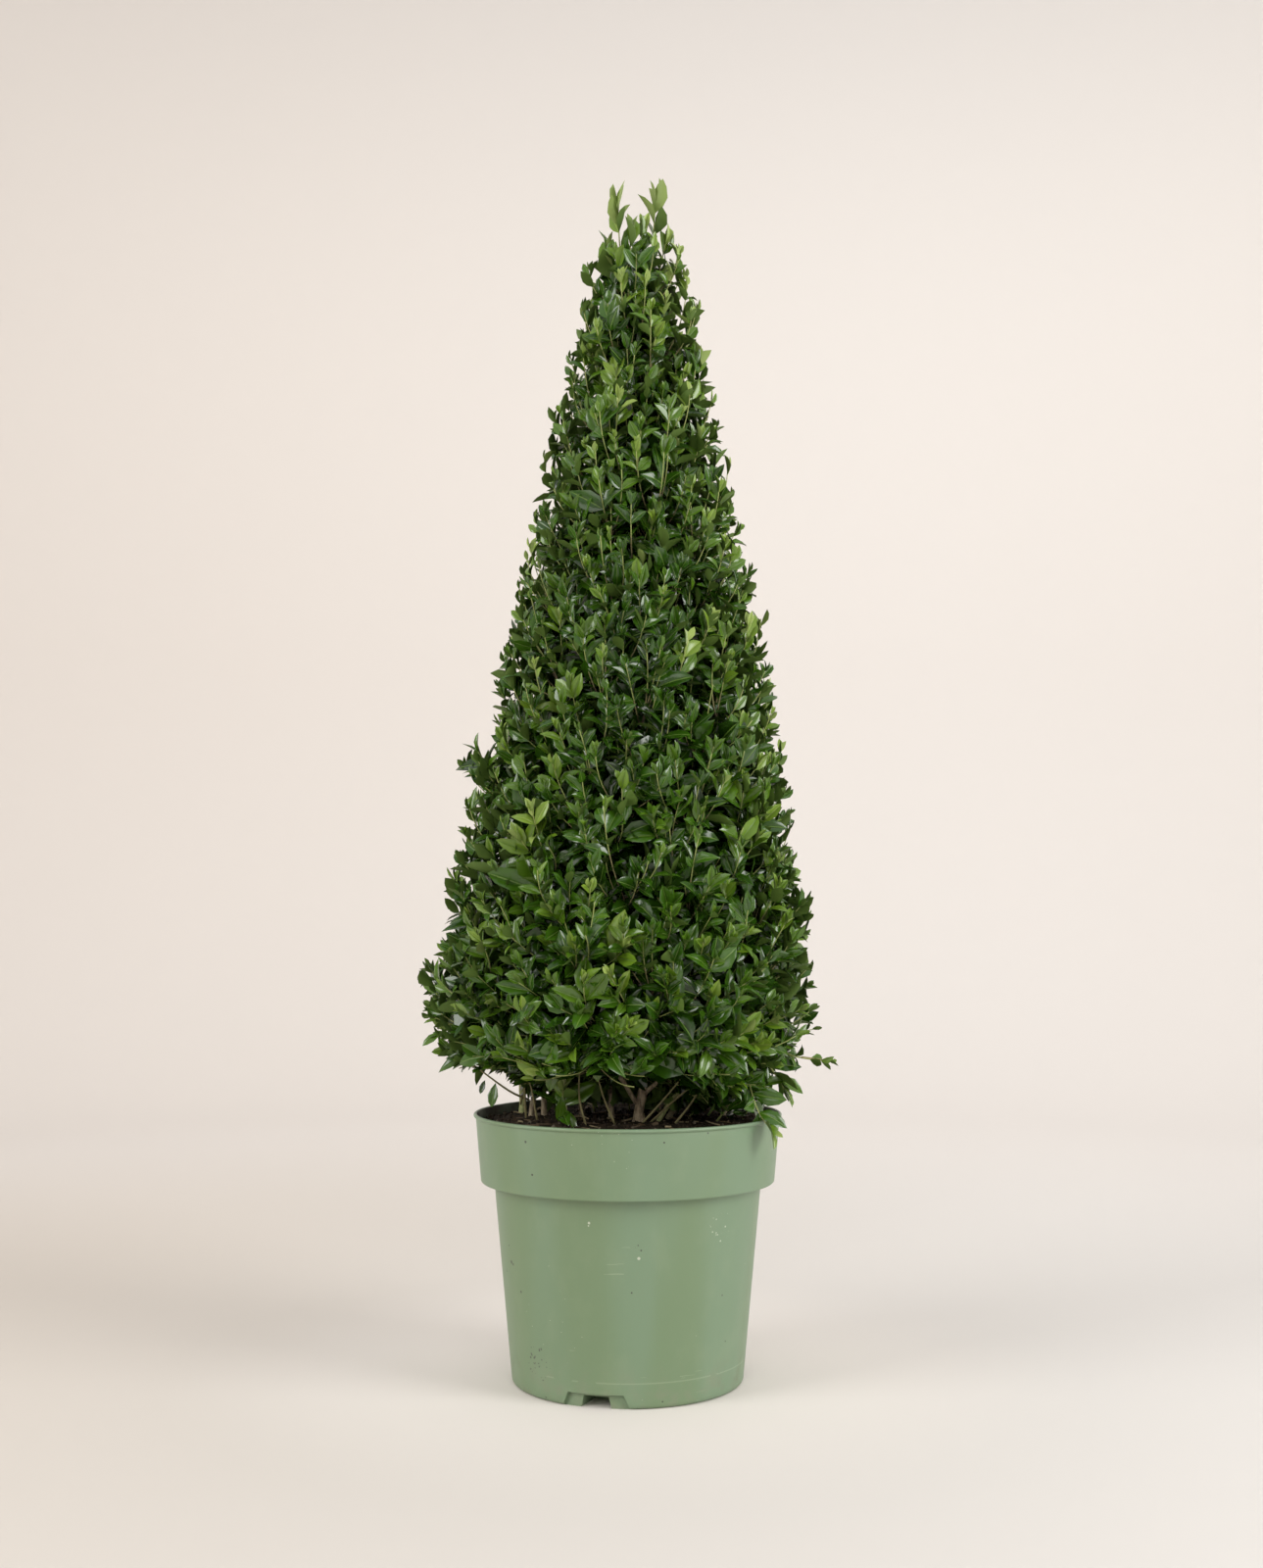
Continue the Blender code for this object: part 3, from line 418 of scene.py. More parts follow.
def mass_of(spots):
    """The index of the mass that holds each point: the number of seam cones that lie under it."""
    radius = np.hypot(spots[:, 0] - crown_axis(spots[:, 2])[:, 0], spots[:, 1])
    return sum((spots[:, 2] > height + slope * radius).astype(int) for height, slope in SEAMS)


def smooth_path(points, steps):
    """A Catmull-Rom curve: each span is a cubic in t that leaves and meets its points along their chords."""
    spots = np.asarray(points, float)
    ends = np.concatenate((2 * spots[:1] - spots[1:2], spots, 2 * spots[-1:] - spots[-2:-1]))
    a, b, c, d = (ends[i : i + len(spots) - 1, None] for i in range(4))
    t = (np.arange(steps) / steps)[None, :, None]
    curve = 0.5 * (2 * b + (c - a) * t + (2 * a - 5 * b + 4 * c - d) * t**2 + (3 * b - a - 3 * c + d) * t**3)
    return np.concatenate((curve.reshape(-1, 3), spots[-1:]))


def evenly(path, radii, count):
    """A path and its radii read again at evenly spaced lengths."""
    reach = np.concatenate(([0.0], np.cumsum(np.linalg.norm(np.diff(path, axis=0), axis=1))))
    at = np.linspace(0.0, reach[-1], count)
    spots = np.stack([np.interp(at, reach, path[:, k]) for k in range(3)], axis=-1)
    return spots, np.interp(at, reach, radii)


def bend(start, control, end, count):
    """Curves (n, count, 3) with one control point each: (1-t)^2 start + 2t(1-t) control + t^2 end."""
    t = np.linspace(0.0, 1.0, count)[None, :, None]
    return (1 - t) ** 2 * start[:, None] + 2 * t * (1 - t) * control[:, None] + t**2 * end[:, None]


def taper(start, end, count, power=1.0):
    """Radii (n, count) that run from each start to one end: start + (end - start) share^power."""
    return start[:, None] + (end - start[:, None]) * np.linspace(0.0, 1.0, count) ** power


def ripple(seed, count, *fields):
    """A sum of sine waves with seeded directions over some fields: a cheap, smooth, repeatable unevenness."""
    rng = np.random.default_rng(seed)
    total = 0.0
    for _ in range(count):
        phase = rng.uniform(0.0, math.tau)
        turn = sum(rng.normal(0.0, 1.0) * field for field in fields)
        total = total + np.sin(turn + phase)
    return total / math.sqrt(count)


class Value:
    """One value socket of a material, whose operators add the Math nodes of an expression."""

    def __init__(self, finish, socket):
        self.finish = finish
        self.socket = socket

    def math(self, operation, first, second=None):
        """A Math node on two values."""
        sockets = {0: first} if second is None else {0: first, 1: second}
        return self.finish.node("ShaderNodeMath", {"operation": operation}, sockets).value()

    def __add__(self, other):
        return self.math("ADD", self, other)

    def __radd__(self, other):
        return self.math("ADD", other, self)

    def __sub__(self, other):
        return self.math("SUBTRACT", self, other)

    def __rsub__(self, other):
        return self.math("SUBTRACT", other, self)

    def __mul__(self, other):
        return self.math("MULTIPLY", self, other)

    def __rmul__(self, other):
        return self.math("MULTIPLY", other, self)

    def size(self):
        """The value without its sign."""
        return self.math("ABSOLUTE", self)

    def over(self, other):
        """1 where this is larger than the other value."""
        return self.math("GREATER_THAN", self, other)

    def under(self, other):
        """1 where this is smaller than the other value."""
        return self.math("LESS_THAN", self, other)


class Made:
    """A node in the making of a finish, with its outputs at hand."""

    def __init__(self, finish, node):
        self.finish = finish
        self.node = node

    def value(self, output=0):
        """One of the node's outputs as a value for expressions."""
        return Value(self.finish, self.node.outputs[output])

    def socket(self, output=0):
        """One of the node's outputs as it is, for colours and vectors."""
        return self.node.outputs[output]


class Finish:
    """A material and its node tree, filled by one method that adds any node."""

    def __init__(self, name, colour=(0.5, 0.5, 0.5), roughness=0.5):
        self.material = bpy.data.materials.new(name)
        self.material.use_nodes = True
        self.material.diffuse_color = (*colour, 1.0)
        self.tree = self.material.node_tree
        self.shader = self.tree.nodes["Principled BSDF"]
        self.set("Base Color", (*colour, 1.0))
        self.set("Roughness", roughness)

    def put(self, target, value):
        """A number, a colour, a value or a node's output goes to a socket."""
        if isinstance(value, Value):
            self.tree.links.new(value.socket, target)
        elif isinstance(value, bpy.types.NodeSocket):
            self.tree.links.new(value, target)
        else:
            target.default_value = value

    def set(self, socket, value):
        """A socket of the shader itself."""
        self.put(self.shader.inputs[socket], value)

    def node(self, kind, settings=None, sockets=None):
        """Any node: its type, its settings, then the values or links of its sockets."""
        made = self.tree.nodes.new(kind)
        for name, value in (settings or {}).items():
            setattr(made, name, value)
        for name, value in (sockets or {}).items():
            self.put(made.inputs[name], value)
        return Made(self, made)

    def place(self, scale=(1.0, 1.0, 1.0), offset=(0.0, 0.0, 0.0)):
        """The object's own coordinates, stretched and moved."""
        where = self.node("ShaderNodeTexCoord").socket("Object")
        sockets = {"Vector": where, "Scale": scale, "Location": offset}
        return self.node("ShaderNodeMapping", None, sockets).socket()

    def noise(self, scale, detail=3.0, stretch=(1.0, 1.0, 1.0), offset=(0.0, 0.0, 0.0)):
        """Noise over the object's own coordinates."""
        sockets = {"Vector": self.place(stretch, offset), "Scale": scale, "Detail": detail, "Roughness": 0.55}
        return self.node("ShaderNodeTexNoise", None, sockets).value("Fac")

    def cells(self, place, scale):
        """The distance to the middle of the nearest one of many scattered cells."""
        sockets = {"Vector": place, "Scale": scale, "Randomness": 1.0}
        return self.node("ShaderNodeTexVoronoi", {"feature": "F1"}, sockets).value("Distance")

    def distance(self, place, spot):
        """How far a place is from a spot."""
        settings = {"operation": "DISTANCE"}
        return self.node("ShaderNodeVectorMath", settings, {0: place, 1: spot}).value("Value")

    def band(self, value, low, high):
        """A value's share of the way from low to high, smoothly, and held at 0 and 1 outside them."""
        settings = {"interpolation_type": "SMOOTHSTEP", "clamp": True}
        sockets = {"Value": value, "From Min": low, "From Max": high}
        return self.node("ShaderNodeMapRange", settings, sockets).value()

    def mix(self, share, first, second):
        """A colour between two colours."""
        sockets = {0: share, 6: first, 7: second}
        return self.node("ShaderNodeMix", {"data_type": "RGBA"}, sockets).socket(2)

    def specks(self, place, start, spots):
        """A value with 1 added within each spot's radius; a spot is x, y, z and the radius."""
        for *spot, radius in spots:
            start = start + self.distance(place, spot).under(radius)
        return start

    def bump(self, height, distance, strength=1.0, under=None):
        """A Bump node on a height, over another one."""
        sockets = {"Height": height, "Distance": distance, "Strength": strength}
        if under is not None:
            sockets["Normal"] = under
        return self.node("ShaderNodeBump", None, sockets).socket()


def plain_finish(name, colour, roughness):
    """A finish with a colour and a roughness of its own, dealt out by spray. Leaves have a waxy shine."""
    known = bpy.data.materials.get(name)
    if known:
        return known
    finish = Finish(name, colour, roughness)
    finish.set("Specular IOR Level", 0.58 if name in LEAF_TONES else 0.30)
    return finish.material


def rgba(colour, share=1.0):
    """A colour with its alpha, darkened or lightened by a share."""
    return (*(channel * share for channel in colour), 1.0)


def pot_finish(settings):
    """Moulded plastic with a satin sheen and a fine grain.

    Over its colour lie soft upright bands of painted sheen, a paler and bluer reflection of the lights, a
    cloud, dust low down, dark specks, pale flecks, scratches and a faint seam near the foot.
    """
    colour = tuple(settings.colour)
    finish = Finish("pot_moulded_plastic", colour, 0.42)
    # Painted sheen: soft upright bands of a paler, bluer colour stand in for the lights' reflections; the
    # same noise also varies the roughness.
    painted_sheen_bands = finish.noise(15.0, 1.5, (1.0, 1.0, 0.10))
    cloud = finish.noise(38.0, 4.0, (1.0, 1.0, 0.6), (0.3, 0.1, 0.7))
    painted_sheen = tuple(channel * share for channel, share in zip(colour, (1.04, 1.05, 1.20)))
    base = finish.mix(finish.band(painted_sheen_bands, 0.36, 0.64), rgba(colour, 0.97), rgba(painted_sheen))
    base = finish.mix(finish.band(cloud, 0.45, 0.75) * 0.12, base, rgba(POT_TONES["cloud"]))
    place = finish.place()
    height = finish.node("ShaderNodeSeparateXYZ", None, {0: place}).value("Z")
    dust = finish.band(finish.noise(55.0, 5.0), 0.46, 0.70)
    low = 1.0 - finish.band(height, 0.002, 0.050)
    base = finish.mix(dust * low * 0.45, base, rgba(POT_TONES["dust"]))
    speck = finish.cells(place, 95.0)
    scarce = finish.noise(14.0, 2.0, (1.0, 1.0, 1.0), (1.7, 0.4, 0.2))
    dark = finish.specks(place, speck.under(0.075) * scarce.over(0.600), DARK_SPECKS)
    fine = finish.cells(place, 260.0)
    near = 1.0 - finish.band(finish.distance(place, CLUSTER_SPOT), 0.006, 0.024)
    cluster = fine.under(0.30) * near.over(0.35) * finish.noise(150.0, 2.0).over(0.50)
    base = finish.mix(dark, base, rgba(POT_TONES["speck"]))
    base = finish.mix(cluster * 0.85, base, rgba(POT_TONES["cluster"]))
    pale = finish.cells(finish.place((1.0, 1.0, 1.6), (0.4, 0.2, 0.9)), 120.0).under(0.055)
    few = finish.noise(11.0, 2.0, (1.0, 1.0, 1.0), (0.2, 2.4, 0.9)).over(0.58)
    fleck = finish.specks(place, pale * few, PALE_SPECKS)
    dotted = finish.distance(place, SCUFF_SPOT).under(0.014) * fine.under(0.22)
    fleck = fleck + dotted * finish.noise(150.0, 2.0, (1.0, 1.0, 1.0), (0.3, 0.3, 0.1)).over(0.50)
    base = finish.mix(fleck * 0.75, base, rgba(POT_TONES["fleck"]))
    sockets = {"Vector": finish.place((2.0, 2.0, 34.0)), "Scale": 22.0, "Detail": 1.0}
    line = finish.node("ShaderNodeTexNoise", None, sockets).value("Fac")
    worn = finish.noise(13.0, 2.0, (1.0, 1.0, 1.0), (3.1, 0.3, 0.6)).over(0.665)
    scratch = finish.band(line, 0.690, 0.715) * worn
    base = finish.mix(scratch * 0.30, base, rgba(POT_TONES["scuff"]))
    seam = (1.0 - finish.band((height - SEAM_Z).size(), 0.0003, 0.0009)) * finish.noise(24.0, 3.0).over(0.50)
    base = finish.mix(seam * 0.22, base, rgba(POT_TONES["scuff"]))
    finish.set("Base Color", base)
    finish.set("Roughness", 0.37 + 0.10 * painted_sheen_bands + 0.22 * (dust * low) + 0.10 * scratch)
    grain = finish.bump(finish.noise(900.0, 2.0), 0.00012, 0.35)
    wave = finish.bump(finish.noise(16.0, 2.0, (1.0, 1.0, 0.3)), 0.0016, 0.30, grain)
    finish.set("Normal", wave)
    finish.set("Specular IOR Level", 0.65)
    return finish.material


def pot_inside_finish(settings):
    """The inside of the wall: the same plastic, much darker all over, with blotches of compost and water
    stain.
    """
    colour = tuple(settings.colour)
    finish = Finish("pot_inside", colour, 0.60)
    stain = finish.band(finish.noise(30.0, 5.0, (1.0, 1.0, 0.5)), 0.35, 0.66)
    fleck = finish.band(finish.noise(160.0, 3.0), 0.52, 0.66)
    base = finish.mix(stain * 0.75 + 0.20, rgba(colour, 0.55), rgba((0.060, 0.052, 0.038)))
    base = finish.mix(fleck * 0.5, base, rgba((0.035, 0.026, 0.018)))
    finish.set("Base Color", base)
    finish.set("Roughness", 0.50 + 0.30 * stain)
    finish.set("Normal", finish.bump(finish.noise(240.0, 3.0), 0.0004, 0.5))
    return finish.material


def compost_finish(settings):
    """Moist compost: dark crumbs, paler fibres and a rough, uneven surface."""
    colour = tuple(settings.colour)
    finish = Finish("compost_moist", colour, 0.93)
    crumb = finish.noise(170.0, 5.0)
    fibre = finish.noise(60.0, 4.0, (1.0, 3.6, 1.0), (0.7, 0.2, 0.1))
    base = finish.mix(finish.band(crumb, 0.36, 0.66), rgba(colour, 0.45), rgba(colour, 1.6))
    base = finish.mix(finish.band(fibre, 0.60, 0.72) * 0.7, base, rgba((0.150, 0.108, 0.062)))
    finish.set("Base Color", base)
    finish.set("Roughness", 0.80 + 0.18 * crumb)
    finish.set("Normal", finish.bump(crumb, 0.0030, 0.8))
    finish.set("Specular IOR Level", 0.20)
    return finish.material


def bark_finish(name, dark, light, moss, scale):
    """Bark: long fissures between paler plates, lenticels across them, and a tinge of green."""
    finish = Finish(name, light, 0.85)
    plates = finish.noise(scale, 5.0, (1.0, 1.0, 0.22))
    grain = finish.noise(scale * 3.2, 4.0, (1.0, 1.0, 0.35), (0.2, 0.4, 0.6))
    pores = finish.noise(scale * 2.4, 2.0, (0.5, 0.5, 2.6), (0.9, 0.1, 0.3))
    base = finish.mix(finish.band(plates, 0.38, 0.62), rgba(dark), rgba(light))
    base = finish.mix(finish.band(grain, 0.50, 0.75) * 0.45, base, rgba(light, 1.5))
    base = finish.mix(finish.band(pores, 0.64, 0.70) * 0.6, base, rgba(light, 1.9))
    tinge = finish.band(finish.noise(26.0, 3.0, (1.0, 1.0, 0.6), (0.5, 0.9, 0.2)), 0.48, 0.66)
    base = finish.mix(tinge * 0.5, base, rgba(moss))
    finish.set("Base Color", base)
    finish.set("Roughness", 0.70 + 0.22 * plates)
    finish.set("Normal", finish.bump(plates * 0.7 + grain * 0.3, 0.0009, 0.9))
    return finish.material


def put_mesh(name, points, faces, finishes, face_finish=None, crease=None):
    """A new object from arrays: points (n, 3), and faces as arrays of 3 or 4 corners a row.

    crease gives each point a set of bits, and an edge whose two points share a bit stays sharp.
    """
    corners = np.concatenate([part.ravel() for part in faces]).astype(np.int32)
    sizes = np.concatenate([np.full(len(part), part.shape[1]) for part in faces])
    starts = np.concatenate(([0], np.cumsum(sizes)[:-1])).astype(np.int32)
    mesh = bpy.data.meshes.new(name)
    mesh.vertices.add(len(points))
    mesh.vertices.foreach_set("co", np.ascontiguousarray(points, np.float32).ravel())
    mesh.loops.add(len(corners))
    mesh.loops.foreach_set("vertex_index", corners)
    mesh.polygons.add(len(sizes))
    mesh.polygons.foreach_set("loop_start", starts)
    for finish in finishes:
        mesh.materials.append(finish)
    if face_finish is not None:
        mesh.polygons.foreach_set("material_index", np.ascontiguousarray(face_finish, np.int32))
    mesh.update(calc_edges=True)
    mesh.shade_smooth()
    if crease is not None:
        ends = np.zeros(len(mesh.edges) * 2, np.int32)
        mesh.edges.foreach_get("vertices", ends)
        shared = crease[ends[0::2]] & crease[ends[1::2]]
        mesh.attributes.new("sharp_edge", "BOOLEAN", "EDGE").data.foreach_set("value", shared != 0)
    made = bpy.data.objects.new(name, mesh)
    bpy.context.scene.collection.objects.link(made)
    return made


def attach(piece, slot, *nodes):
    """The piece rides on the plant's one body and stands for its CAD nodes, which it hides; the slot is not
    used.
    """
    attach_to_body(piece, "root")
    if nodes:
        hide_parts(*nodes)


def full_turn(count):
    """Evenly spaced angles of one whole turn."""
    return np.arange(count) / count * math.tau


def ring_faces(rings, sides):
    """Faces between closed rings of points: between two rings a face joins each point to the next.

    Returns them with the fans that close both ends, round the two points numbered after the rings.
    """
    index = np.arange(rings * sides).reshape(rings, sides)
    after = np.roll(index, -1, axis=1)
    quads = np.stack((index[:-1], after[:-1], after[1:], index[1:]), axis=-1).reshape(-1, 4)
    foot = np.stack((np.full(sides, rings * sides), after[0], index[0]), axis=-1)
    tip = np.stack((np.full(sides, rings * sides + 1), index[-1], after[-1]), axis=-1)
    return quads, np.concatenate((foot, tip))


def copies(faces, count, size):
    """One form's faces for each of many forms, which have a number of points each."""
    return (faces[None] + (np.arange(count) * size)[:, None, None]).reshape(-1, faces.shape[1])


def turned_grid(points):
    """A closed turned surface: points (rows, columns, 3), whose first and last rows are poles."""
    rows, columns = points.shape[:2]
    spots = np.concatenate((points[1:-1].reshape(-1, 3), points[0, :1], points[-1, :1]))
    return spots, *ring_faces(rows - 2, columns)


def tubes(paths, radii, sides, relief=None):
    """Tubes round many paths: each ring is a circle square to its path, of its radius times the relief.

    paths is (n, k, 3), radii (n, k) and relief (n, k, sides). Each end is closed by a fan to its own point.
    """
    count, rings = radii.shape
    along = unit(np.gradient(paths, axis=1))
    mean = np.abs(along.mean(axis=1))
    least = np.eye(3)[np.argmin(mean, axis=1)][:, None]
    side = unit(np.cross(along, least))
    other = np.cross(along, side)
    turn = full_turn(sides)[None, None, :, None]
    spread = radii[:, :, None] * (1.0 if relief is None else relief)
    spread = np.broadcast_to(spread, (count, rings, sides))[..., None]
    ring = np.cos(turn) * side[:, :, None] + np.sin(turn) * other[:, :, None]
    skin = paths[:, :, None] + ring * spread
    foot = paths[:, 0] - along[:, 0] * radii[:, :1] * 0.5
    tip = paths[:, -1] + along[:, -1] * radii[:, -1:]
    points = np.concatenate((skin.reshape(count, -1, 3), np.stack((foot, tip), 1)), axis=1)
    faces = [copies(part, count, points.shape[1]) for part in ring_faces(rings, sides)]
    return points.reshape(-1, 3), *faces


def leaf_pattern(shaded=False):
    """One leaf's points as shares of (length, half width, thickness, arch), its faces and their finishes.

    Each station has the right edge, the middle of that half, both sides of the rib, the middle of the
    left half, the left edge and the underside. A shaded leaf has fewer stations, and only edges, rib and
    underside.
    """
    stations = (SHADED_STATIONS if shaded else LEAF_STATIONS)[1:-1]
    rows = []
    for share, width in stations:
        spots = ((-width, 0.0), (0.0, 0.0), (width, 0.0))
        if not shaded:
            right = ((-width, 0.0), (-0.52 * width, 1.0), (-RIB_HALF, 0.0))
            spots = (*right, *((-spot, arch) for spot, arch in reversed(right)))
        rows += [*((share, spot, 0.0, arch) for spot, arch in spots), (share, 0.0, -1.0, 0.0)]
    across = len(rows) // len(stations)
    points = np.array([(0.0, 0.0, 0.0, 0.0), *rows, (1.0, 0.0, 0.0, 0.0)])
    last = len(points) - 1
    upper = tuple((i, i + 1) for i in range(across - 2))
    lower = ((0, across - 1), (across - 1, across - 2))
    upper_kinds = [0, 0] if shaded else [0, 0, 2, 0, 0]
    quads, kinds = [], []
    for i in range(len(stations) - 1):
        here, there = 1 + across * i, 1 + across * (i + 1)
        quads += [(here + a, there + a, there + b, here + b) for a, b in upper]
        quads += [(here + a, here + b, there + b, there + a) for a, b in lower]
        kinds += [*upper_kinds, 1, 1]
    end = 1 + across * (len(stations) - 1)
    triangles = [(0, 1 + a, 1 + b) for a, b in upper] + [(0, 1 + b, 1 + a) for a, b in lower]
    triangles += [(end + a, last, end + b) for a, b in upper] + [(end + a, end + b, last) for a, b in lower]
    kinds += [*upper_kinds, 1, 1] * 2
    crease = np.array([7, *((1, 2, 1, 0) if shaded else (1, 0, 2, 4, 0, 1, 0)) * len(stations), 7])
    return points, np.array(quads), np.array(triangles), np.array(kinds), crease


def leaf_points(leaves, shaded=False):
    """Every leaf's points: base + along x + side y + face h, with h bent by the fold, the droop and the curl.

    y is the half width of the outline times 1 + blunt times (length share - 0.52), so blunt widens the tip.
    h = (fold + arch in the middle of each half) times the distance from the rib, less the droop times the
    length share squared, less the thickness, plus the curl times the half width and the length share.
    """
    pattern = leaf_pattern(shaded)[0]
    along = unit(leaves["along"])
    face = unit(leaves["light"] - along * np.sum(leaves["light"] * along, axis=-1, keepdims=True))
    side = np.cross(face, along)
    roll = leaves["roll"][:, None]
    side, face = side * np.cos(roll) + face * np.sin(roll), face * np.cos(roll) - side * np.sin(roll)
    length = leaves["length"][:, None]
    half = leaves["width"][:, None] / 2
    share, across, thick, middle = (pattern[None, :, k] for k in range(4))
    x = length * share * (1.0 - 0.12 * leaves["droop"][:, None] * share)
    y = half * across * (1.0 + leaves["blunt"][:, None] * (share - 0.52))
    bow = leaves["droop"][:, None] * length * (share**2 * 0.42 - share * 0.06)
    bent = leaves["fold"][:, None] + leaves["arch"][:, None] * middle
    h = bent * np.abs(y) - bow + thick * LEAF_THICKNESS
    h = h + leaves["curl"][:, None] * half * np.abs(across) * share
    spots = leaves["base"][:, None] + x[..., None] * along[:, None]
    return spots + y[..., None] * side[:, None] + h[..., None] * face[:, None]


def join(parts):
    """One set of leaves from several."""
    return {key: np.concatenate([part[key] for part in parts]) for key in parts[0]}


def pick(leaves, chosen):
    """Some of the leaves."""
    return {key: value[chosen] for key, value in leaves.items()}


def plain_finishes(*tables):
    """The plain finishes of some tables of tones, in their order."""
    return [plain_finish(name, *tone) for table in tables for name, tone in table.items()]


def leaf_mesh(name, leaves, dealt, finishes, shaded=False):
    """One mesh of leaves. dealt gives each leaf the finishes of its upper face, its underside and its rib."""
    _, quads, triangles, kinds, crease = leaf_pattern(shaded)
    points = leaf_points(leaves, shaded)
    count, size = points.shape[:2]
    faces = [copies(part, count, size) for part in (quads, triangles)]
    kinds = np.split(kinds, [len(quads)])
    face_finish = np.concatenate([dealt[:, part].ravel() for part in kinds])
    return put_mesh(name, points.reshape(-1, 3), faces, finishes, face_finish, np.tile(crease, count))


def make_leaves(name, leaves, shaded=False):
    """One piece of leaves, each with its tone's finish on the upper face, and its own underside and rib."""
    tones = len(LEAF_TONES)
    young = (leaves["tone"] >= tones - 2).astype(int)
    dealt = np.stack((leaves["tone"], tones + young, tones + len(UNDER_TONES) + young), axis=1)
    return leaf_mesh(name, leaves, dealt, plain_finishes(LEAF_TONES, UNDER_TONES, RIB_TONES), shaded)


def stem_points(foot, entry, radius):
    """A side stem's points from the soil to just under the crown, as in the part's source."""
    start = np.array((*foot, SOIL_TOP - 0.004))
    first = np.array((*foot, SOIL_TOP + CLEARANCE + radius))
    end = np.array((*entry, UNDERSIDE_Z - CLEARANCE - radius * LIMB_TIP_SHARE))
    middle = first + (end - first) * 0.45
    middle[:2] += (first - end)[:2] * 0.08
    return [start, first, middle, end]


def leader_points(entry, reach, drift):
    """A stem's way up inside the crown: it keeps its share of the outline's radius and turns a little."""
    axis = crown_axis(UNDERSIDE_Z)
    radius = math.hypot(entry[0] - axis[0], entry[1])
    angle = math.atan2(entry[0] - axis[0], -entry[1])
    share = min(radius / 0.172, 0.62)
    heights = np.linspace(UNDERSIDE_Z + 0.045, reach, 6)
    climb = (heights - UNDERSIDE_Z) / (CROWN_TOP_Z - UNDERSIDE_Z)
    return on_crown(outline_radius(heights) * share * (1.0 - 0.25 * climb), angle + drift * climb, heights)


def limb_lines():
    """Each limb's smooth path and radii from the soil to its tip inside the crown."""
    rng = np.random.default_rng(11)
    trunk = np.concatenate((np.array(TRUNK_PATH[:1]), smooth_path(TRUNK_PATH[1:], 8)))
    up = (trunk[:, 2] - trunk[0, 2]) / (trunk[-1, 2] - trunk[0, 2])
    lines = {"trunk": (trunk, TRUNK_RADIUS + (TRUNK_TIP_RADIUS - TRUNK_RADIUS) * up)}
    for i, (name, (foot, entry, radius)) in enumerate(SIDE_STEMS.items()):
        reach = 0.56 + 0.40 * ((i * 0.618) % 1.0)
        points = [*stem_points(foot, entry, radius), *leader_points(entry, reach, rng.uniform(-0.8, 0.8))]
        path = smooth_path(points, 5)
        up = (path[:, 2] - path[0, 2]) / (path[-1, 2] - path[0, 2])
        lines[name] = (path, radius * (1.0 - 0.70 * up**0.8))
    for name, (fork, entry, radius) in BOUGHS.items():
        at = np.array([np.interp(fork, trunk[:, 2], trunk[:, k]) for k in range(3)])
        end = np.array((*entry, UNDERSIDE_Z - CLEARANCE - radius))
        away = unit(np.array((end[0] - at[0], end[1] - at[1], 0.0)))
        points = [at + away * 0.001, at + away * 0.006 + (0.0, 0.0, 0.004)]
        points += [at + (end - at) * 0.5 + away * radius, end]
        points += [*leader_points(entry, 0.62 if name == "bough_left" else 0.70, 0.3)]
        path = smooth_path(points, 5)
        up = np.clip((path[:, 2] - path[0, 2]) / (path[-1, 2] - path[0, 2]), 0.0, 1.0)
        lines[name] = (path, radius * (1.15 - 0.75 * up))
    return lines


def limb_spots(lines):
    """Evenly spaced points along every limb, with the limb's radius at each."""
    reads = [evenly(*line, LIMB_READS) for line in lines.values()]
    return [np.concatenate(column) for column in zip(*reads)]


def grow_boughs(lines, count):
    """Boughs inside the crown: tips by the golden angle at a depth in the outline, feet on the nearest limb.

    A tip takes its foot from the nearest limb point, once a point above it or level with it costs more.
    """
    rng = np.random.default_rng(5)
    order = np.arange(count)
    radius, z, rise = outline_station((order + 0.5) / count)
    angle = order * GOLDEN_ANGLE + rng.uniform(-0.2, 0.2, count)
    depth = rng.uniform(0.045, 0.065, count)
    tips_z = np.clip(z - 0.010, 0.342, 1.085)
    tip = on_crown(np.maximum(radius + unevenness(angle, z) - depth, 0.006), angle, tips_z)
    spots, thick = limb_spots(lines)
    inside = spots[:, 2] > 0.302
    spots, thick = spots[inside], thick[inside]
    gap = tip[:, None] - spots[None]
    lift = np.clip(gap[..., 2], 0.0, 0.2)
    cost = np.hypot(gap[..., 0], gap[..., 1]) + 0.9 * np.abs(lift - 0.055)
    cost = cost + 3.0 * np.clip(-gap[..., 2], 0.0, None)
    chosen = np.argmin(cost, axis=1)
    foot = spots[chosen]
    outward = around(np.cos(np.radians(rise)), angle, np.sin(np.radians(rise)))
    reach = np.linalg.norm(tip - foot, axis=1, keepdims=True)
    control = tip - unit(outward + (0.0, 0.0, 0.25)) * reach * 0.5
    start = np.minimum(thick[chosen] * 0.75, 0.0018)
    return bend(foot, control, tip, TWIG_POINTS), taper(start, BOUGH_TIP, TWIG_POINTS)


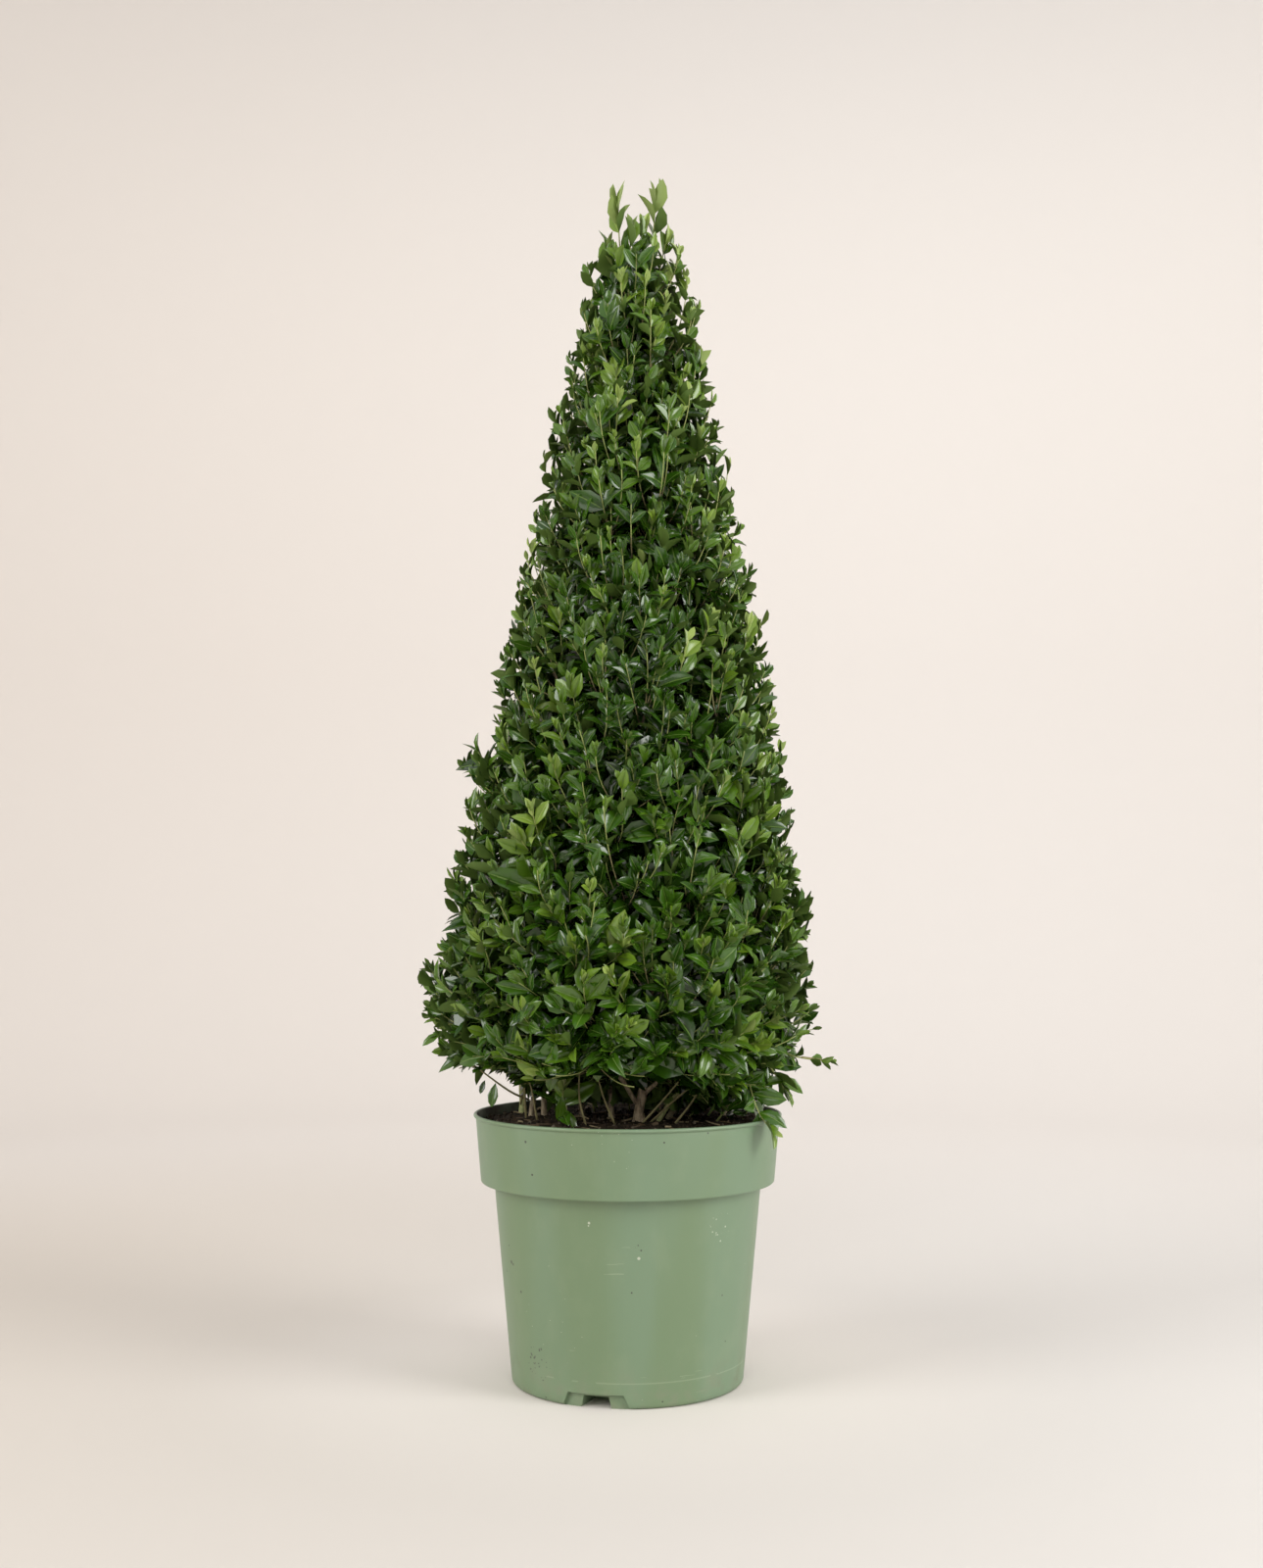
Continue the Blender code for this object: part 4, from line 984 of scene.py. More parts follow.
def grow_twigs(boughs, lines, count, seed, depths):
    """Twigs with their shoots: tips at the outline less a depth, feet on the nearest bough or limb.

    Stations climb the outline with equal areas each, and turn by the golden angle from one to the next.
    """
    rng = np.random.default_rng(seed)
    order = np.arange(count)
    radius, z, rise = outline_station((order + 0.5) / count)
    angle = order * GOLDEN_ANGLE + rng.uniform(-0.11, 0.11, count)
    z = z + rng.uniform(-0.008, 0.008, count)
    depth = rng.choice(depths, count) + rng.uniform(-0.004, 0.004, count)
    radius = np.maximum(radius + unevenness(angle, z) - depth, 0.003)
    rise = np.radians(np.minimum(rise + 12.0 + rng.uniform(-16.0, 16.0, count), 90.0))
    heading = angle + rng.uniform(-0.55, 0.55, count)
    direction = around(np.cos(rise), heading, np.sin(rise))
    flat = np.clip(1.0 - np.cos(rise), 0.0, 1.0)
    tip = on_crown(radius, angle, z - depth * flat) - direction * 0.009
    hang = np.clip((0.325 - tip[:, 2]) / 0.05, 0.0, 1.0) * (rise < 0.1)
    tip[:, 2] += (lower_edge(tip) + 0.010 + rng.uniform(0.0, 0.012, count) - tip[:, 2]) * hang
    spots, thick = limb_spots(lines)
    spots = np.concatenate((boughs[0][:, 3:].reshape(-1, 3), spots))
    thick = np.concatenate((boughs[1][:, 3:].ravel(), thick))
    spots, thick = spots[spots[:, 2] > 0.304], thick[spots[:, 2] > 0.304]
    root = tip - direction * 0.052
    gap = root[:, None] - spots[None]
    cost = np.sum(gap**2, axis=-1) + 6.0 * np.clip(-gap[..., 2] - 0.004, 0.0, None) ** 2
    chosen = np.argmin(cost, axis=1)
    foot = spots[chosen]
    reach = np.linalg.norm(tip - foot, axis=1, keepdims=True)
    control = tip - direction * reach * 0.55
    level = np.minimum(foot[:, 2], tip[:, 2]) - 0.003
    control[:, 2] = np.where(tip[:, 2] < STEMS_SHOW_Z, np.maximum(control[:, 2], level), control[:, 2])
    paths = bend(foot, control, tip, TWIG_POINTS)
    radii = taper(np.clip(thick[chosen] * 0.8, 0.0007, 0.0011), TWIG_TIP, TWIG_POINTS, 0.8)
    return {"paths": paths, "radii": radii, "depth": depth, "angle": angle, "z": z}


def leaves_on(paths, gaps, sizes, spreads, size, youth, seed, drop=0.06):
    """Crossed pairs of leaves at set lengths back from each path's tip, by the golden rule of the source.

    A leaf heads along = direction cos(spread) + sideways sin(spread), with sideways turned by a quarter from
    pair to pair. Its face turns to the light, which is outwards from the crown's middle, plus a share of the
    twig's own direction and a share upwards.
    """
    rng = np.random.default_rng(seed)
    count, points = paths.shape[:2]
    steps = np.linalg.norm(np.diff(paths, axis=1), axis=2)
    back = np.concatenate((np.cumsum(steps[:, ::-1], axis=1)[:, ::-1], np.zeros((count, 1))), axis=1)
    roll = rng.uniform(0.0, math.pi, count)
    vigour = np.exp(rng.normal(0.02, 0.17, count))
    found = []
    for k, (gap, share, spread) in enumerate(zip(gaps, sizes, spreads)):
        want = gap * rng.uniform(0.88, 1.12, count)
        step = np.clip(np.sum(back > want[:, None], axis=1) - 1, 0, points - 2)
        row = np.arange(count)
        low, high = back[row, step], back[row, step + 1]
        part = np.clip((low - want) / np.maximum(low - high, 1e-9), 0.0, 1.0)[:, None]
        base = paths[row, step] * (1 - part) + paths[row, step + 1] * part
        heading = unit(paths[row, step + 1] - paths[row, step])
        fits = want < back[:, 0] * 0.92
        up = np.where(np.abs(heading[:, 2:]) > 0.97, np.array((1.0, 0.0, 0.0)), np.array((0.0, 0.0, 1.0)))
        level = unit(np.cross(heading, up))
        rise = np.cross(level, heading)
        turn = (roll + k * math.pi / 2 + rng.normal(0.0, 0.16, count))[:, None]
        across = level * np.cos(turn) + rise * np.sin(turn)
        for sign in (-1.0, 1.0):
            angle = (math.radians(spread) * rng.uniform(0.78, 1.22, count))[:, None]
            along = heading * np.cos(angle) + across * (sign * np.sin(angle))
            outward = base - crown_axis(base[:, 2])
            outward[:, 2] = 0.0
            light = unit(outward) + 0.55 * heading + (0.0, 0.0, 0.55) + rng.normal(0.0, 0.50, (count, 3))
            low = np.clip((0.62 - base[:, 2]) / 0.28, 0.0, 1.0)
            length = FULL_LEAF * size * share * vigour * rng.uniform(0.82, 1.15, count) * (1.0 + 0.15 * low)
            grown = {
                "base": base,
                "along": along,
                "light": light,
                "roll": rng.normal(0.0, 0.20, count),
                "length": length,
                "width": length * rng.uniform(0.35, 0.52, count),
                "blunt": rng.normal(0.10, 0.45, count),
                "droop": np.clip(rng.normal(0.60, 0.48, count), -0.35, 1.6) * (0.4 + 0.6 * (k > 1)),
                "fold": rng.uniform(0.08, 0.75, count) + 0.20 * (k < 2),
                "curl": rng.normal(-0.06, 0.10, count),
                "arch": rng.uniform(0.08, 0.48, count),
                "tone": leaf_tone(youth, k, len(gaps), rng),
            }
            found.append(pick(grown, fits & (rng.random(count) > drop)))
    return join(found)


def leaf_tone(youth, order, pairs, rng):
    """A leaf's tone: the spray's own youth, more towards its tip than its foot, with some chance."""
    ripe = order / max(pairs - 1, 1)
    value = youth * (1.35 - 0.75 * ripe) + 0.10 * (1.0 - ripe) + rng.normal(0.0, 0.07, len(youth))
    return np.clip((value * len(LEAF_TONES)).astype(int), 0, len(LEAF_TONES) - 1)


def spray_youth(twigs, rng):
    """How young each spray is: a slow wave over the crown, more towards the top, and a few fresh sprays.

    The sprays under the skirt and those set deeper than the outline are dealt darker tones: painted shade.
    """
    angle, z = twigs["angle"], twigs["z"]
    wave = ripple(3, 9, 2.3 * np.cos(angle), 2.3 * np.sin(angle), 9.0 * z)
    level = 0.29 + 0.080 * wave + 0.14 * np.clip((z - 0.45) / 0.7, 0.0, 1.0) + rng.normal(0.0, 0.10, len(z))
    fresh = rng.random(len(z)) < 0.13
    extra = rng.uniform(0.14, 0.36, len(z)) * np.clip((z - 0.20) / 0.3, 0.0, 1.0)
    level = np.where(fresh, level + extra, level)
    # Painted shade: sprays low under the skirt and set deep in the crown take darker tones.
    shaded = 0.08 * np.clip((0.37 - z) / 0.06, 0.0, 1.0) + 4.5 * np.clip(twigs["depth"] - 0.006, 0.0, None)
    return np.clip(level - shaded, 0.02, 0.95)


def lower_edge(spots):
    """How low the foliage hangs at each point: an uneven edge, higher over the pot's front and far left.

    The rise at the front is a bell over the angle, which opens the view to the stems.
    """
    away = spots - crown_axis(spots[:, 2])
    reach = np.hypot(away[:, 0], away[:, 1])
    angle = np.arctan2(away[:, 0], -away[:, 1])
    front = np.exp(-(((angle + 0.30) / 1.10) ** 4)) * np.clip(reach / 0.05, 0.0, 1.0)
    outside = np.clip((reach - 0.100) / 0.050, 0.0, 1.0) * (1.0 - front)
    left = np.clip(-away[:, 0] / 0.10, 0.0, 1.0)
    wave = ripple(12, 6, 60.0 * spots[:, 0], 60.0 * spots[:, 1])
    return 0.252 + 0.050 * front + (0.012 + 0.036 * left) * outside + wave * (0.003 + 0.005 * front)


def keep_inside(leaves, allowance):
    """The leaves whose tips the shears would have left: no further out than the outline and an allowance.

    Those under the lower edge go too, and those whose middle lies in one of the hollows.
    """
    tips = leaves["base"] + unit(leaves["along"]) * leaves["length"][:, None]
    away = tips - crown_axis(tips[:, 2])
    angle = np.arctan2(away[:, 0], -away[:, 1])
    limit = outline_radius(tips[:, 2]) + unevenness(angle, tips[:, 2]) + allowance
    reach = np.hypot(away[:, 0], away[:, 1])
    lowest = np.minimum(tips[:, 2], leaves["base"][:, 2]) > lower_edge(tips)
    middle = (tips + leaves["base"]) / 2.0
    gap = np.linalg.norm(middle[:, None] - HOLLOWS[None, :, :3], axis=-1) - HOLLOWS[:, 3]
    return pick(leaves, (reach < limit) & (tips[:, 2] < 1.152) & lowest & (gap.min(axis=1) > 0.0))


def grow_crown(settings):
    """Everything that grows on the limbs: boughs, twigs and leaves, from one set of rules."""
    lines = limb_lines()
    boughs = grow_boughs(lines, settings.bough_count)
    surface = grow_twigs(boughs, lines, settings.shoot_count, 27, OUTER_DEPTHS)
    inner = grow_twigs(boughs, lines, settings.inner_count, 41, SHADED_DEPTHS)
    size = settings.leaf_length / LEAF_LENGTH
    youth = spray_youth(surface, np.random.default_rng(8))
    outer_leaves = leaves_on(surface["paths"], *OUTER_PAIRS, size, youth, 61)
    youth = np.full(settings.inner_count, SHADED_YOUTH)
    inner_leaves = leaves_on(inner["paths"], *SHADED_PAIRS, size * SHADED_SIZE, youth, 62)
    return {
        "boughs": boughs,
        "twigs": (surface, inner),
        "leaves": keep_inside(outer_leaves, OUTER_REACH),
        "shaded_leaves": keep_inside(inner_leaves, SHADED_REACH),
    }


def shoot_path(points):
    """A loose shoot's or bare twig's smooth path, in even steps."""
    path = smooth_path(points, 6)
    return evenly(path, np.zeros(len(path)), SHOOT_POINTS)[0]


def loose_growth(settings):
    """The loose shoots' paths, and their leaves with the mass that each belongs to."""
    size = settings.leaf_length / LEAF_LENGTH
    paths, found = [], []
    for i, (mass, points, share, pairs, youth) in enumerate(LOOSE_SHOOTS):
        path = shoot_path(points)
        gaps = 0.0015 + 0.0085 * np.arange(pairs) * (1.0 + 0.06 * np.arange(pairs))
        sizes = np.clip((0.55 if mass < 4 else 0.80) + 0.2 * np.arange(pairs), 0.0, 1.0)
        spreads = np.linspace(22.0, 60.0, pairs) * (1.0 if mass < 4 else 0.55)
        leaves = leaves_on(path[None], gaps, sizes, spreads, size * share, np.array([youth]), 90 + i, 0.0)
        leaves["mass"] = np.full(len(leaves["tone"]), mass)
        found.append(leaves)
        paths.append(path)
    for base, along, light, share, youth in LOOSE_LEAVES:
        leaf = {
            **LOOSE_LEAF_FORM,
            "base": base,
            "along": along,
            "light": light,
            "length": LEAF_LENGTH * size * share,
            "width": 0.0110 * size * share,
            "tone": min(int(youth * len(LEAF_TONES)), len(LEAF_TONES) - 1),
            "mass": 0,
        }
        found.append({key: np.array([value]) for key, value in leaf.items()})
    return np.array(paths), join(found)


def drain_columns(settings):
    """The pot's column angles, with close pairs of columns at both sides of every recess and channel.

    Returns, for each column, its drain's middle angle, its offset at the ground and at the top of the recess,
    and which form it has: 0 wall, 1 recess, 2 channel.
    """
    hair = 0.0006
    recess, channel = (
        tuple(half / settings.foot_radius for half in halves) for halves in (RECESS_HALVES, CHANNEL_HALVES)
    )
    side = [(*recess, hair, 0), (*recess, 0.0, 1), (0.22, 0.18, 0.0, 1)]
    side += [(*channel, hair, 1), (*channel, 0.0, 2)]
    local = [(-a - shift, -b - shift, form) for a, b, shift, form in side] + [(0.0, 0.0, 2)]
    local += [(a + shift, b + shift, form) for a, b, shift, form in reversed(side)]
    columns = []
    for i in range(DRAIN_COUNT):
        middle = FIRST_DRAIN_ANGLE + math.tau * i / DRAIN_COUNT
        columns += [(middle, low, high, form) for low, high, form in local]
        edge = recess[0] + hair
        gap = math.tau / DRAIN_COUNT
        between = np.linspace(edge, gap - edge, 38)[1:-1]
        ease = np.clip(np.minimum(between - edge, gap - edge - between) / 0.2, 0.0, 1.0)
        lean = np.where(between < gap / 2, -1.0, 1.0) * (recess[0] - recess[1]) * (1.0 - ease)
        columns += [(middle, low, low + tilt, 0) for low, tilt in zip(between, lean)]
    return np.array(columns)


def pot_points(settings):
    """The pot's surface: rows along the wall's profile from the underside's middle round to the floor inside.

    Returns the grid of points and how many of its rows lie outside, up to the lip's inner edge.
    A column of the recess or the channel holds its low rows back to a smaller radius, and a channel's rows on
    the underside up at the channel's roof.
    """
    foot, height, rim = settings.foot_radius, settings.height, settings.rim_radius
    shoulder, top, ledge, back = SHOULDER_Z, BODY_TOP_RADIUS, RECESS_TOP, RECESS_RADIUS
    slope = (top - foot) / shoulder
    turn = np.radians(np.linspace(-90.0, 0.0, 6))
    arc_r = foot + slope * FOOT_ROUND - FOOT_ROUND + FOOT_ROUND * np.cos(turn)
    arc_z = FOOT_ROUND + FOOT_ROUND * np.sin(turn)
    roof, inner = CHANNEL_ROOF, CHANNEL_END_RADIUS
    middle = [(0.0, 0.0), (0.060, 0.0), (inner, 0.0)]
    plain = [*middle, (inner + 0.0003, 0.0), (0.095, 0.0), *zip(arc_r, arc_z)]
    recess = [*middle, (inner + 0.0003, 0.0), (0.095, 0.0), (arc_r[0], 0.0)]
    recess += [(back, z) for z in (0.0, 0.0009, 0.0020, 0.0034, 0.0045)]
    channel = [*middle, (inner + 0.0003, roof), (0.095, roof), (arc_r[0], roof)]
    channel += [(back, roof + z) for z in (0.0, 0.0002, 0.0004, 0.0006, 0.0008)]
    for z in (roof, ledge - 0.0002):
        plain.append((foot + slope * z, z))
        recess.append((back, z))
        channel.append((back, max(z, roof + 0.001)))
    rising = [ledge, 0.020, 0.030, 0.050, 0.075, 0.100, 0.125, 0.150, 0.170, 0.183, shoulder - 0.0006]
    body = [(foot + slope * z, z) for z in rising]
    band_top, band_foot, band_z = BAND_TOP_RADIUS, BAND_FOOT_RADIUS, BAND_FOOT_Z
    under = np.radians(np.linspace(-80.0, 0.0, 7))
    round_r = band_foot - BAND_ROUND + BAND_ROUND * np.cos(under)
    round_z = band_z + BAND_ROUND * np.sin(under)
    shelf = [(top + 0.0004, shoulder - 0.0001), (top + 0.0016, shoulder + 0.0001), *zip(round_r, round_z)]
    wide, tall = band_top - band_foot, height - LIP_HEIGHT - band_z
    band = [(band_foot + wide * s, band_z + tall * s) for s in (0.1, 0.3, 0.5, 0.7, 0.9, 0.985)]
    lip = np.radians(np.linspace(-70.0, 180.0, 12))
    rolled = zip(rim - LIP_ROUND + LIP_ROUND * np.cos(lip), height - LIP_ROUND + LIP_ROUND * np.sin(lip))
    edge = [(band_top - 0.0002, height - LIP_HEIGHT), (band_top + 0.0001, height - 0.0036), *rolled]
    rows = (height - 0.005, SOIL_TOP, 0.225, band_z + WALL)
    inside = [(band_foot + wide / tall * (z - band_z) - WALL, z) for z in rows]
    inside += [(top - WALL, shoulder + WALL), (foot + slope * 0.09 - WALL, 0.09), (foot - WALL, 0.012)]
    inside += [(foot - 0.010, 0.0130), (0.060, 0.0130), (0.0, 0.0130)]
    shared = [*body, *shelf, *band, *edge, *inside]
    profiles = np.array([[*form, *shared] for form in (plain, recess, channel)])
    columns = drain_columns(settings)
    shape = profiles[columns[:, 3].astype(int)].transpose(1, 0, 2)
    up = np.clip(shape[:, :, 1] / ledge, 0.0, 1.0)
    angle = columns[None, :, 0] + columns[None, :, 1] * (1.0 - up) + columns[None, :, 2] * up
    outside_rows = sum(len(part) for part in (plain, body, shelf, band, edge))
    return around(shape[..., 0], angle, shape[..., 1]), outside_rows


def compost_points():
    """The compost's surface: its height is a sum of slow, quick and fine waves, flatter near the wall."""
    columns, rings = 144, 46
    radius = np.linspace(0.0, 1.0, rings)[:, None] ** 0.9 * COMPOST_RADIUS
    angle = full_turn(columns)[None]
    x, y = radius * np.sin(angle), -radius * np.cos(angle)
    slow = ripple(21, 12, 60.0 * x, 60.0 * y)
    quick = ripple(22, 16, 260.0 * x, 260.0 * y)
    fine = ripple(23, 20, 700.0 * x, 700.0 * y)
    heap = 0.0012 * slow + 0.0011 * quick + 0.0006 * fine
    edge = np.clip((COMPOST_RADIUS - radius) / 0.006, 0.0, 1.0)
    z = SOIL_TOP + 0.0022 + np.maximum(heap, -0.0018) * (0.4 + 0.6 * edge)
    top = np.stack((x, y, z), axis=-1)
    wall = np.stack((x[-1], y[-1], np.full(columns, COMPOST_UNDER_Z)), axis=-1)[None]
    pole = np.zeros((1, columns, 3)) + (0.0, 0.0, COMPOST_UNDER_Z)
    return np.concatenate((pole, wall * (0.5, 0.5, 1.0), wall, top[::-1]))


def crumbs(count):
    """Small lumps on the compost: a ball of eight faces with its corners moved, at seeded places and sizes.

    Returns their points and faces, and each face's finish: about one lump in eight is grit.
    """
    rng = np.random.default_rng(31)
    ball = np.array(((1, 0, 0), (0, 1, 0), (-1, 0, 0), (0, -1, 0), (0, 0, 1), (0, 0, -1)), float)
    faces = np.array([(a, (a + 1) % 4, 4) for a in range(4)] + [((a + 1) % 4, a, 5) for a in range(4)])
    size = rng.uniform(0.0008, 0.0026, (count, 1, 1)) * rng.uniform(0.6, 1.4, (count, 1, 3))
    radius = CRUMB_REACH * np.sqrt(rng.random(count))
    middle = around(radius, rng.uniform(0.0, math.tau, count), np.full(count, SOIL_TOP + 0.0030))
    turn = rng.uniform(0.0, math.tau, count)
    spots = ball[None] * size * rng.uniform(0.75, 1.25, (count, 6, 1))
    x = spots[..., 0] * np.cos(turn)[:, None] - spots[..., 1] * np.sin(turn)[:, None]
    y = spots[..., 0] * np.sin(turn)[:, None] + spots[..., 1] * np.cos(turn)[:, None]
    points = np.stack((x, y, spots[..., 2]), axis=-1) + middle[:, None]
    dealt = np.where(np.repeat(rng.integers(0, 8, count), len(faces)) == 7, 3, 2)
    return points.reshape(-1, 3), copies(faces, count, len(ball)), dealt


def by_tube(kinds, rings, sides):
    """Each tube's finish for all of its faces, first those between the rings and then those of the ends."""
    return np.concatenate((np.repeat(kinds, (rings - 1) * sides), np.repeat(kinds, 2 * sides)))


def dry_twigs(count, rng):
    """Dry twigs on the compost: the middle plus t times along plus (1 - t squared) times sideways."""
    radius = TWIG_REACH * np.sqrt(rng.random(count))
    angle = rng.uniform(0.0, math.tau, count)
    middle = around(radius, angle, SOIL_TOP + rng.uniform(0.003, 0.0065, count))
    heading = rng.uniform(0.0, math.tau, count)
    half = np.minimum(rng.uniform(0.003, 0.013, count), LITTER_EDGE - radius)[:, None]
    along = np.stack((np.cos(heading), np.sin(heading), rng.normal(0.0, 0.10, count)), axis=-1) * half
    side = np.stack((-np.sin(heading), np.cos(heading), np.zeros(count)), axis=-1)
    side = side * rng.normal(0.0, 0.0016, (count, 1))
    t = np.linspace(-1.0, 1.0, 6)[None, :, None]
    paths = middle[:, None] + along[:, None] * t + side[:, None] * (1 - t**2)
    return paths, rng.uniform(0.0004, 0.0010, (count, 1)) * np.linspace(1.1, 0.7, 6)[None]


def fallen_leaves(count, rng):
    """Dry leaves that lie flat on the compost, shorter close to its edge."""
    radius = FALLEN_REACH * np.sqrt(rng.random(count))
    angle = rng.uniform(0.0, math.tau, count)
    base = around(radius, angle, SOIL_TOP + rng.uniform(0.0035, 0.0075, count))
    level, rise = rng.normal(0.0, 1.0, (count, 2)), rng.normal(0.0, 0.10, (count, 1))
    return {
        "base": base,
        "along": np.concatenate((level, rise), axis=1),
        "light": np.array((0.0, 0.0, 1.0)) + rng.normal(0.0, 0.30, (count, 3)),
        "roll": rng.normal(0.0, 0.3, count),
        "length": rng.uniform(0.008, 0.017, count) * np.clip((LITTER_EDGE - radius) / 0.017, 0.2, 1.0),
        "width": rng.uniform(0.004, 0.008, count),
        "blunt": rng.normal(0.0, 0.3, count),
        "droop": rng.normal(0.2, 0.5, count),
        "fold": rng.uniform(-0.3, 0.6, count),
        "curl": rng.normal(0.0, 0.3, count),
        "arch": np.zeros(count),
    }


class PotSettings(bpy.types.PropertyGroup):
    """Sizes and colour of the pot."""

    height: bpy.props.FloatProperty(
        name="Height", description="Height of the pot", default=0.254, unit="LENGTH"
    )
    rim_radius: bpy.props.FloatProperty(
        name="Rim radius", description="Radius of the rolled lip", default=0.150, unit="LENGTH"
    )
    foot_radius: bpy.props.FloatProperty(
        name="Foot radius", description="Radius at the ground", default=0.1112, unit="LENGTH"
    )
    colour: bpy.props.FloatVectorProperty(
        name="Colour",
        description="Colour of the plastic",
        default=(0.1640, 0.2430, 0.1300),
        subtype="COLOR",
        size=3,
    )


class CompostSettings(bpy.types.PropertyGroup):
    """Colour of the compost and what lies on it."""

    colour: bpy.props.FloatVectorProperty(
        name="Colour",
        description="Colour of the moist compost",
        default=(0.034, 0.0235, 0.0135),
        subtype="COLOR",
        size=3,
    )
    crumb_count: bpy.props.IntProperty(
        name="Crumbs", description="Number of crumbs on the compost", default=900
    )
    litter_count: bpy.props.IntProperty(
        name="Litter", description="Number of dry twigs on the compost", default=52
    )


class FoliageSettings(bpy.types.PropertyGroup):
    """Counts and sizes of the growth."""

    bough_count: bpy.props.IntProperty(name="Boughs", description="Boughs inside the crown", default=190)
    shoot_count: bpy.props.IntProperty(
        name="Shoots", description="Shoots at the clipped outline", default=1150
    )
    inner_count: bpy.props.IntProperty(
        name="Inner shoots", description="Shaded shoots inside the crown", default=1100
    )
    leaf_length: bpy.props.FloatProperty(
        name="Leaf length", description="Length of a full leaf", default=LEAF_LENGTH, unit="LENGTH"
    )


class StageSettings(bpy.types.PropertyGroup):
    """The floor's colour and the lights' power."""

    colour: bpy.props.FloatVectorProperty(
        name="Floor colour",
        description="Colour of the floor and the wall",
        default=(0.7100, 0.6860, 0.6620),
        subtype="COLOR",
        size=3,
    )
    key_power: bpy.props.FloatProperty(
        name="Key light", description="Power of the main light", default=35.0, unit="POWER"
    )
    fill_power: bpy.props.FloatProperty(
        name="Fill light", description="Power of the fill light", default=26.5, unit="POWER"
    )
    front_power: bpy.props.FloatProperty(
        name="Front light", description="Power of the light from the front", default=7.0, unit="POWER"
    )
    backdrop_power: bpy.props.FloatProperty(
        name="Backdrop light", description="Power of the light on the wall", default=25.0, unit="POWER"
    )
    ambient: bpy.props.FloatProperty(
        name="Ambient", description="Strength of the light from all round", default=0.70
    )


class TOPIARY_OT_pot(bpy.types.Operator):
    """Build the moulded pot with its band, rolled lip and drain channels"""

    bl_idname = "topiary.pot"
    bl_label = "Pot"

    def execute(self, context):
        settings = context.scene.topiary_pot
        points, outside_rows = pot_points(settings)
        spots, quads, triangles = turned_grid(points)
        columns = points.shape[1]
        rows = np.repeat(np.arange(points.shape[0] - 3), columns)
        wall = (rows >= outside_rows - 4).astype(int)
        dealt = np.concatenate((wall, np.zeros(columns, int), np.ones(columns, int)))
        finishes = [pot_finish(settings), pot_inside_finish(settings)]
        pot = put_mesh("nursery_pot", spots, (quads, triangles), finishes, dealt)
        pot.data.set_sharp_from_angle(angle=math.radians(38.0))
        attach(pot, "pot_plastic", "pot")
        return {"FINISHED"}


class TOPIARY_OT_compost(bpy.types.Operator):
    """Build the compost's surface, its crumbs, dry twigs and fallen leaves"""

    bl_idname = "topiary.compost"
    bl_label = "Compost"

    def execute(self, context):
        settings = context.scene.topiary_compost
        spots, quads, triangles = turned_grid(compost_points())
        finish = compost_finish(settings)
        heap = put_mesh("compost_surface", spots, (quads, triangles), [finish])
        attach(heap, "compost")
        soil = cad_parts["soil"]
        soil.data.materials.clear()
        soil.data.materials.append(finish)
        litter = plain_finishes(LITTER_TONES)
        points, faces, dealt = crumbs(settings.crumb_count)
        attach(put_mesh("compost_crumbs", points, (faces,), litter, dealt), "compost")
        rng = np.random.default_rng(33)
        paths, radii = dry_twigs(settings.litter_count, rng)
        points, quads, triangles = tubes(paths, radii, TUBE_SIDES)
        dealt = by_tube(np.where(rng.random(len(paths)) < 0.45, 1, 0), paths.shape[1], TUBE_SIDES)
        attach(put_mesh("litter_twigs", points, (quads, triangles), [litter[0], litter[4]], dealt), "bark")
        dry = rng.integers(0, 2, FALLEN_COUNT)
        fallen = fallen_leaves(FALLEN_COUNT, rng)
        leaves = leaf_mesh("litter_leaves", fallen, np.stack((dry,) * 3, axis=1), [litter[1], litter[0]])
        attach(leaves, "leaves")
        return {"FINISHED"}


class TOPIARY_OT_limbs(bpy.types.Operator):
    """Build the trunk, the side stems and the forked boughs with bark relief"""

    bl_idname = "topiary.limbs"
    bl_label = "Trunk and stems"

    def execute(self, context):
        brown, green = (bark_finish(name, *looks) for name, looks in BARKS.items())
        for i, (name, (path, radii)) in enumerate(limb_lines().items()):
            sides, rings, wavy, ridged, flared = TRUNK_FORM if name == "trunk" else STEM_FORM
            last = int(np.sum(path[:, 2] < STEMS_SHOW_Z))
            foot, foot_radii = evenly(path[: last + 1], radii[: last + 1], rings)
            rest, rest_radii = evenly(path[last:], radii[last:], UPPER_RINGS)
            spots = np.concatenate((foot, rest[1:]))
            thick = np.concatenate((foot_radii, rest_radii[1:]))
            up = (spots[:, 2] - SOIL_TOP)[:, None]
            turn = full_turn(sides)[None]
            wave = ripple(50 + i, 7, 2.0 * np.cos(turn), 2.0 * np.sin(turn), 420.0 * up)
            ridge = ripple(80 + i, 9, 4.5 * np.cos(turn), 4.5 * np.sin(turn), 150.0 * up)
            knot = 0.10 * np.exp(-(((up / 0.017) % 1.0 - 0.5) / 0.10) ** 2) * (up < 0.12)
            relief = 1.0 + wavy * wave + ridged * ridge + knot
            if name not in BOUGHS:
                lobes = 1.0 + 0.35 * np.cos(3.0 * turn + i)
                relief = relief + flared * np.exp(-np.maximum(up, 0.0) / 0.006) * lobes
            points, quads, triangles = tubes(spots[None], thick[None], sides, relief[None])
            finish = green if name in GREEN_LIMBS else brown
            slot = "green_bark" if name in GREEN_SLOT_LIMBS else "bark"
            attach(put_mesh(f"{name}_bark", points, (quads, triangles), [finish]), slot, name)
        return {"FINISHED"}


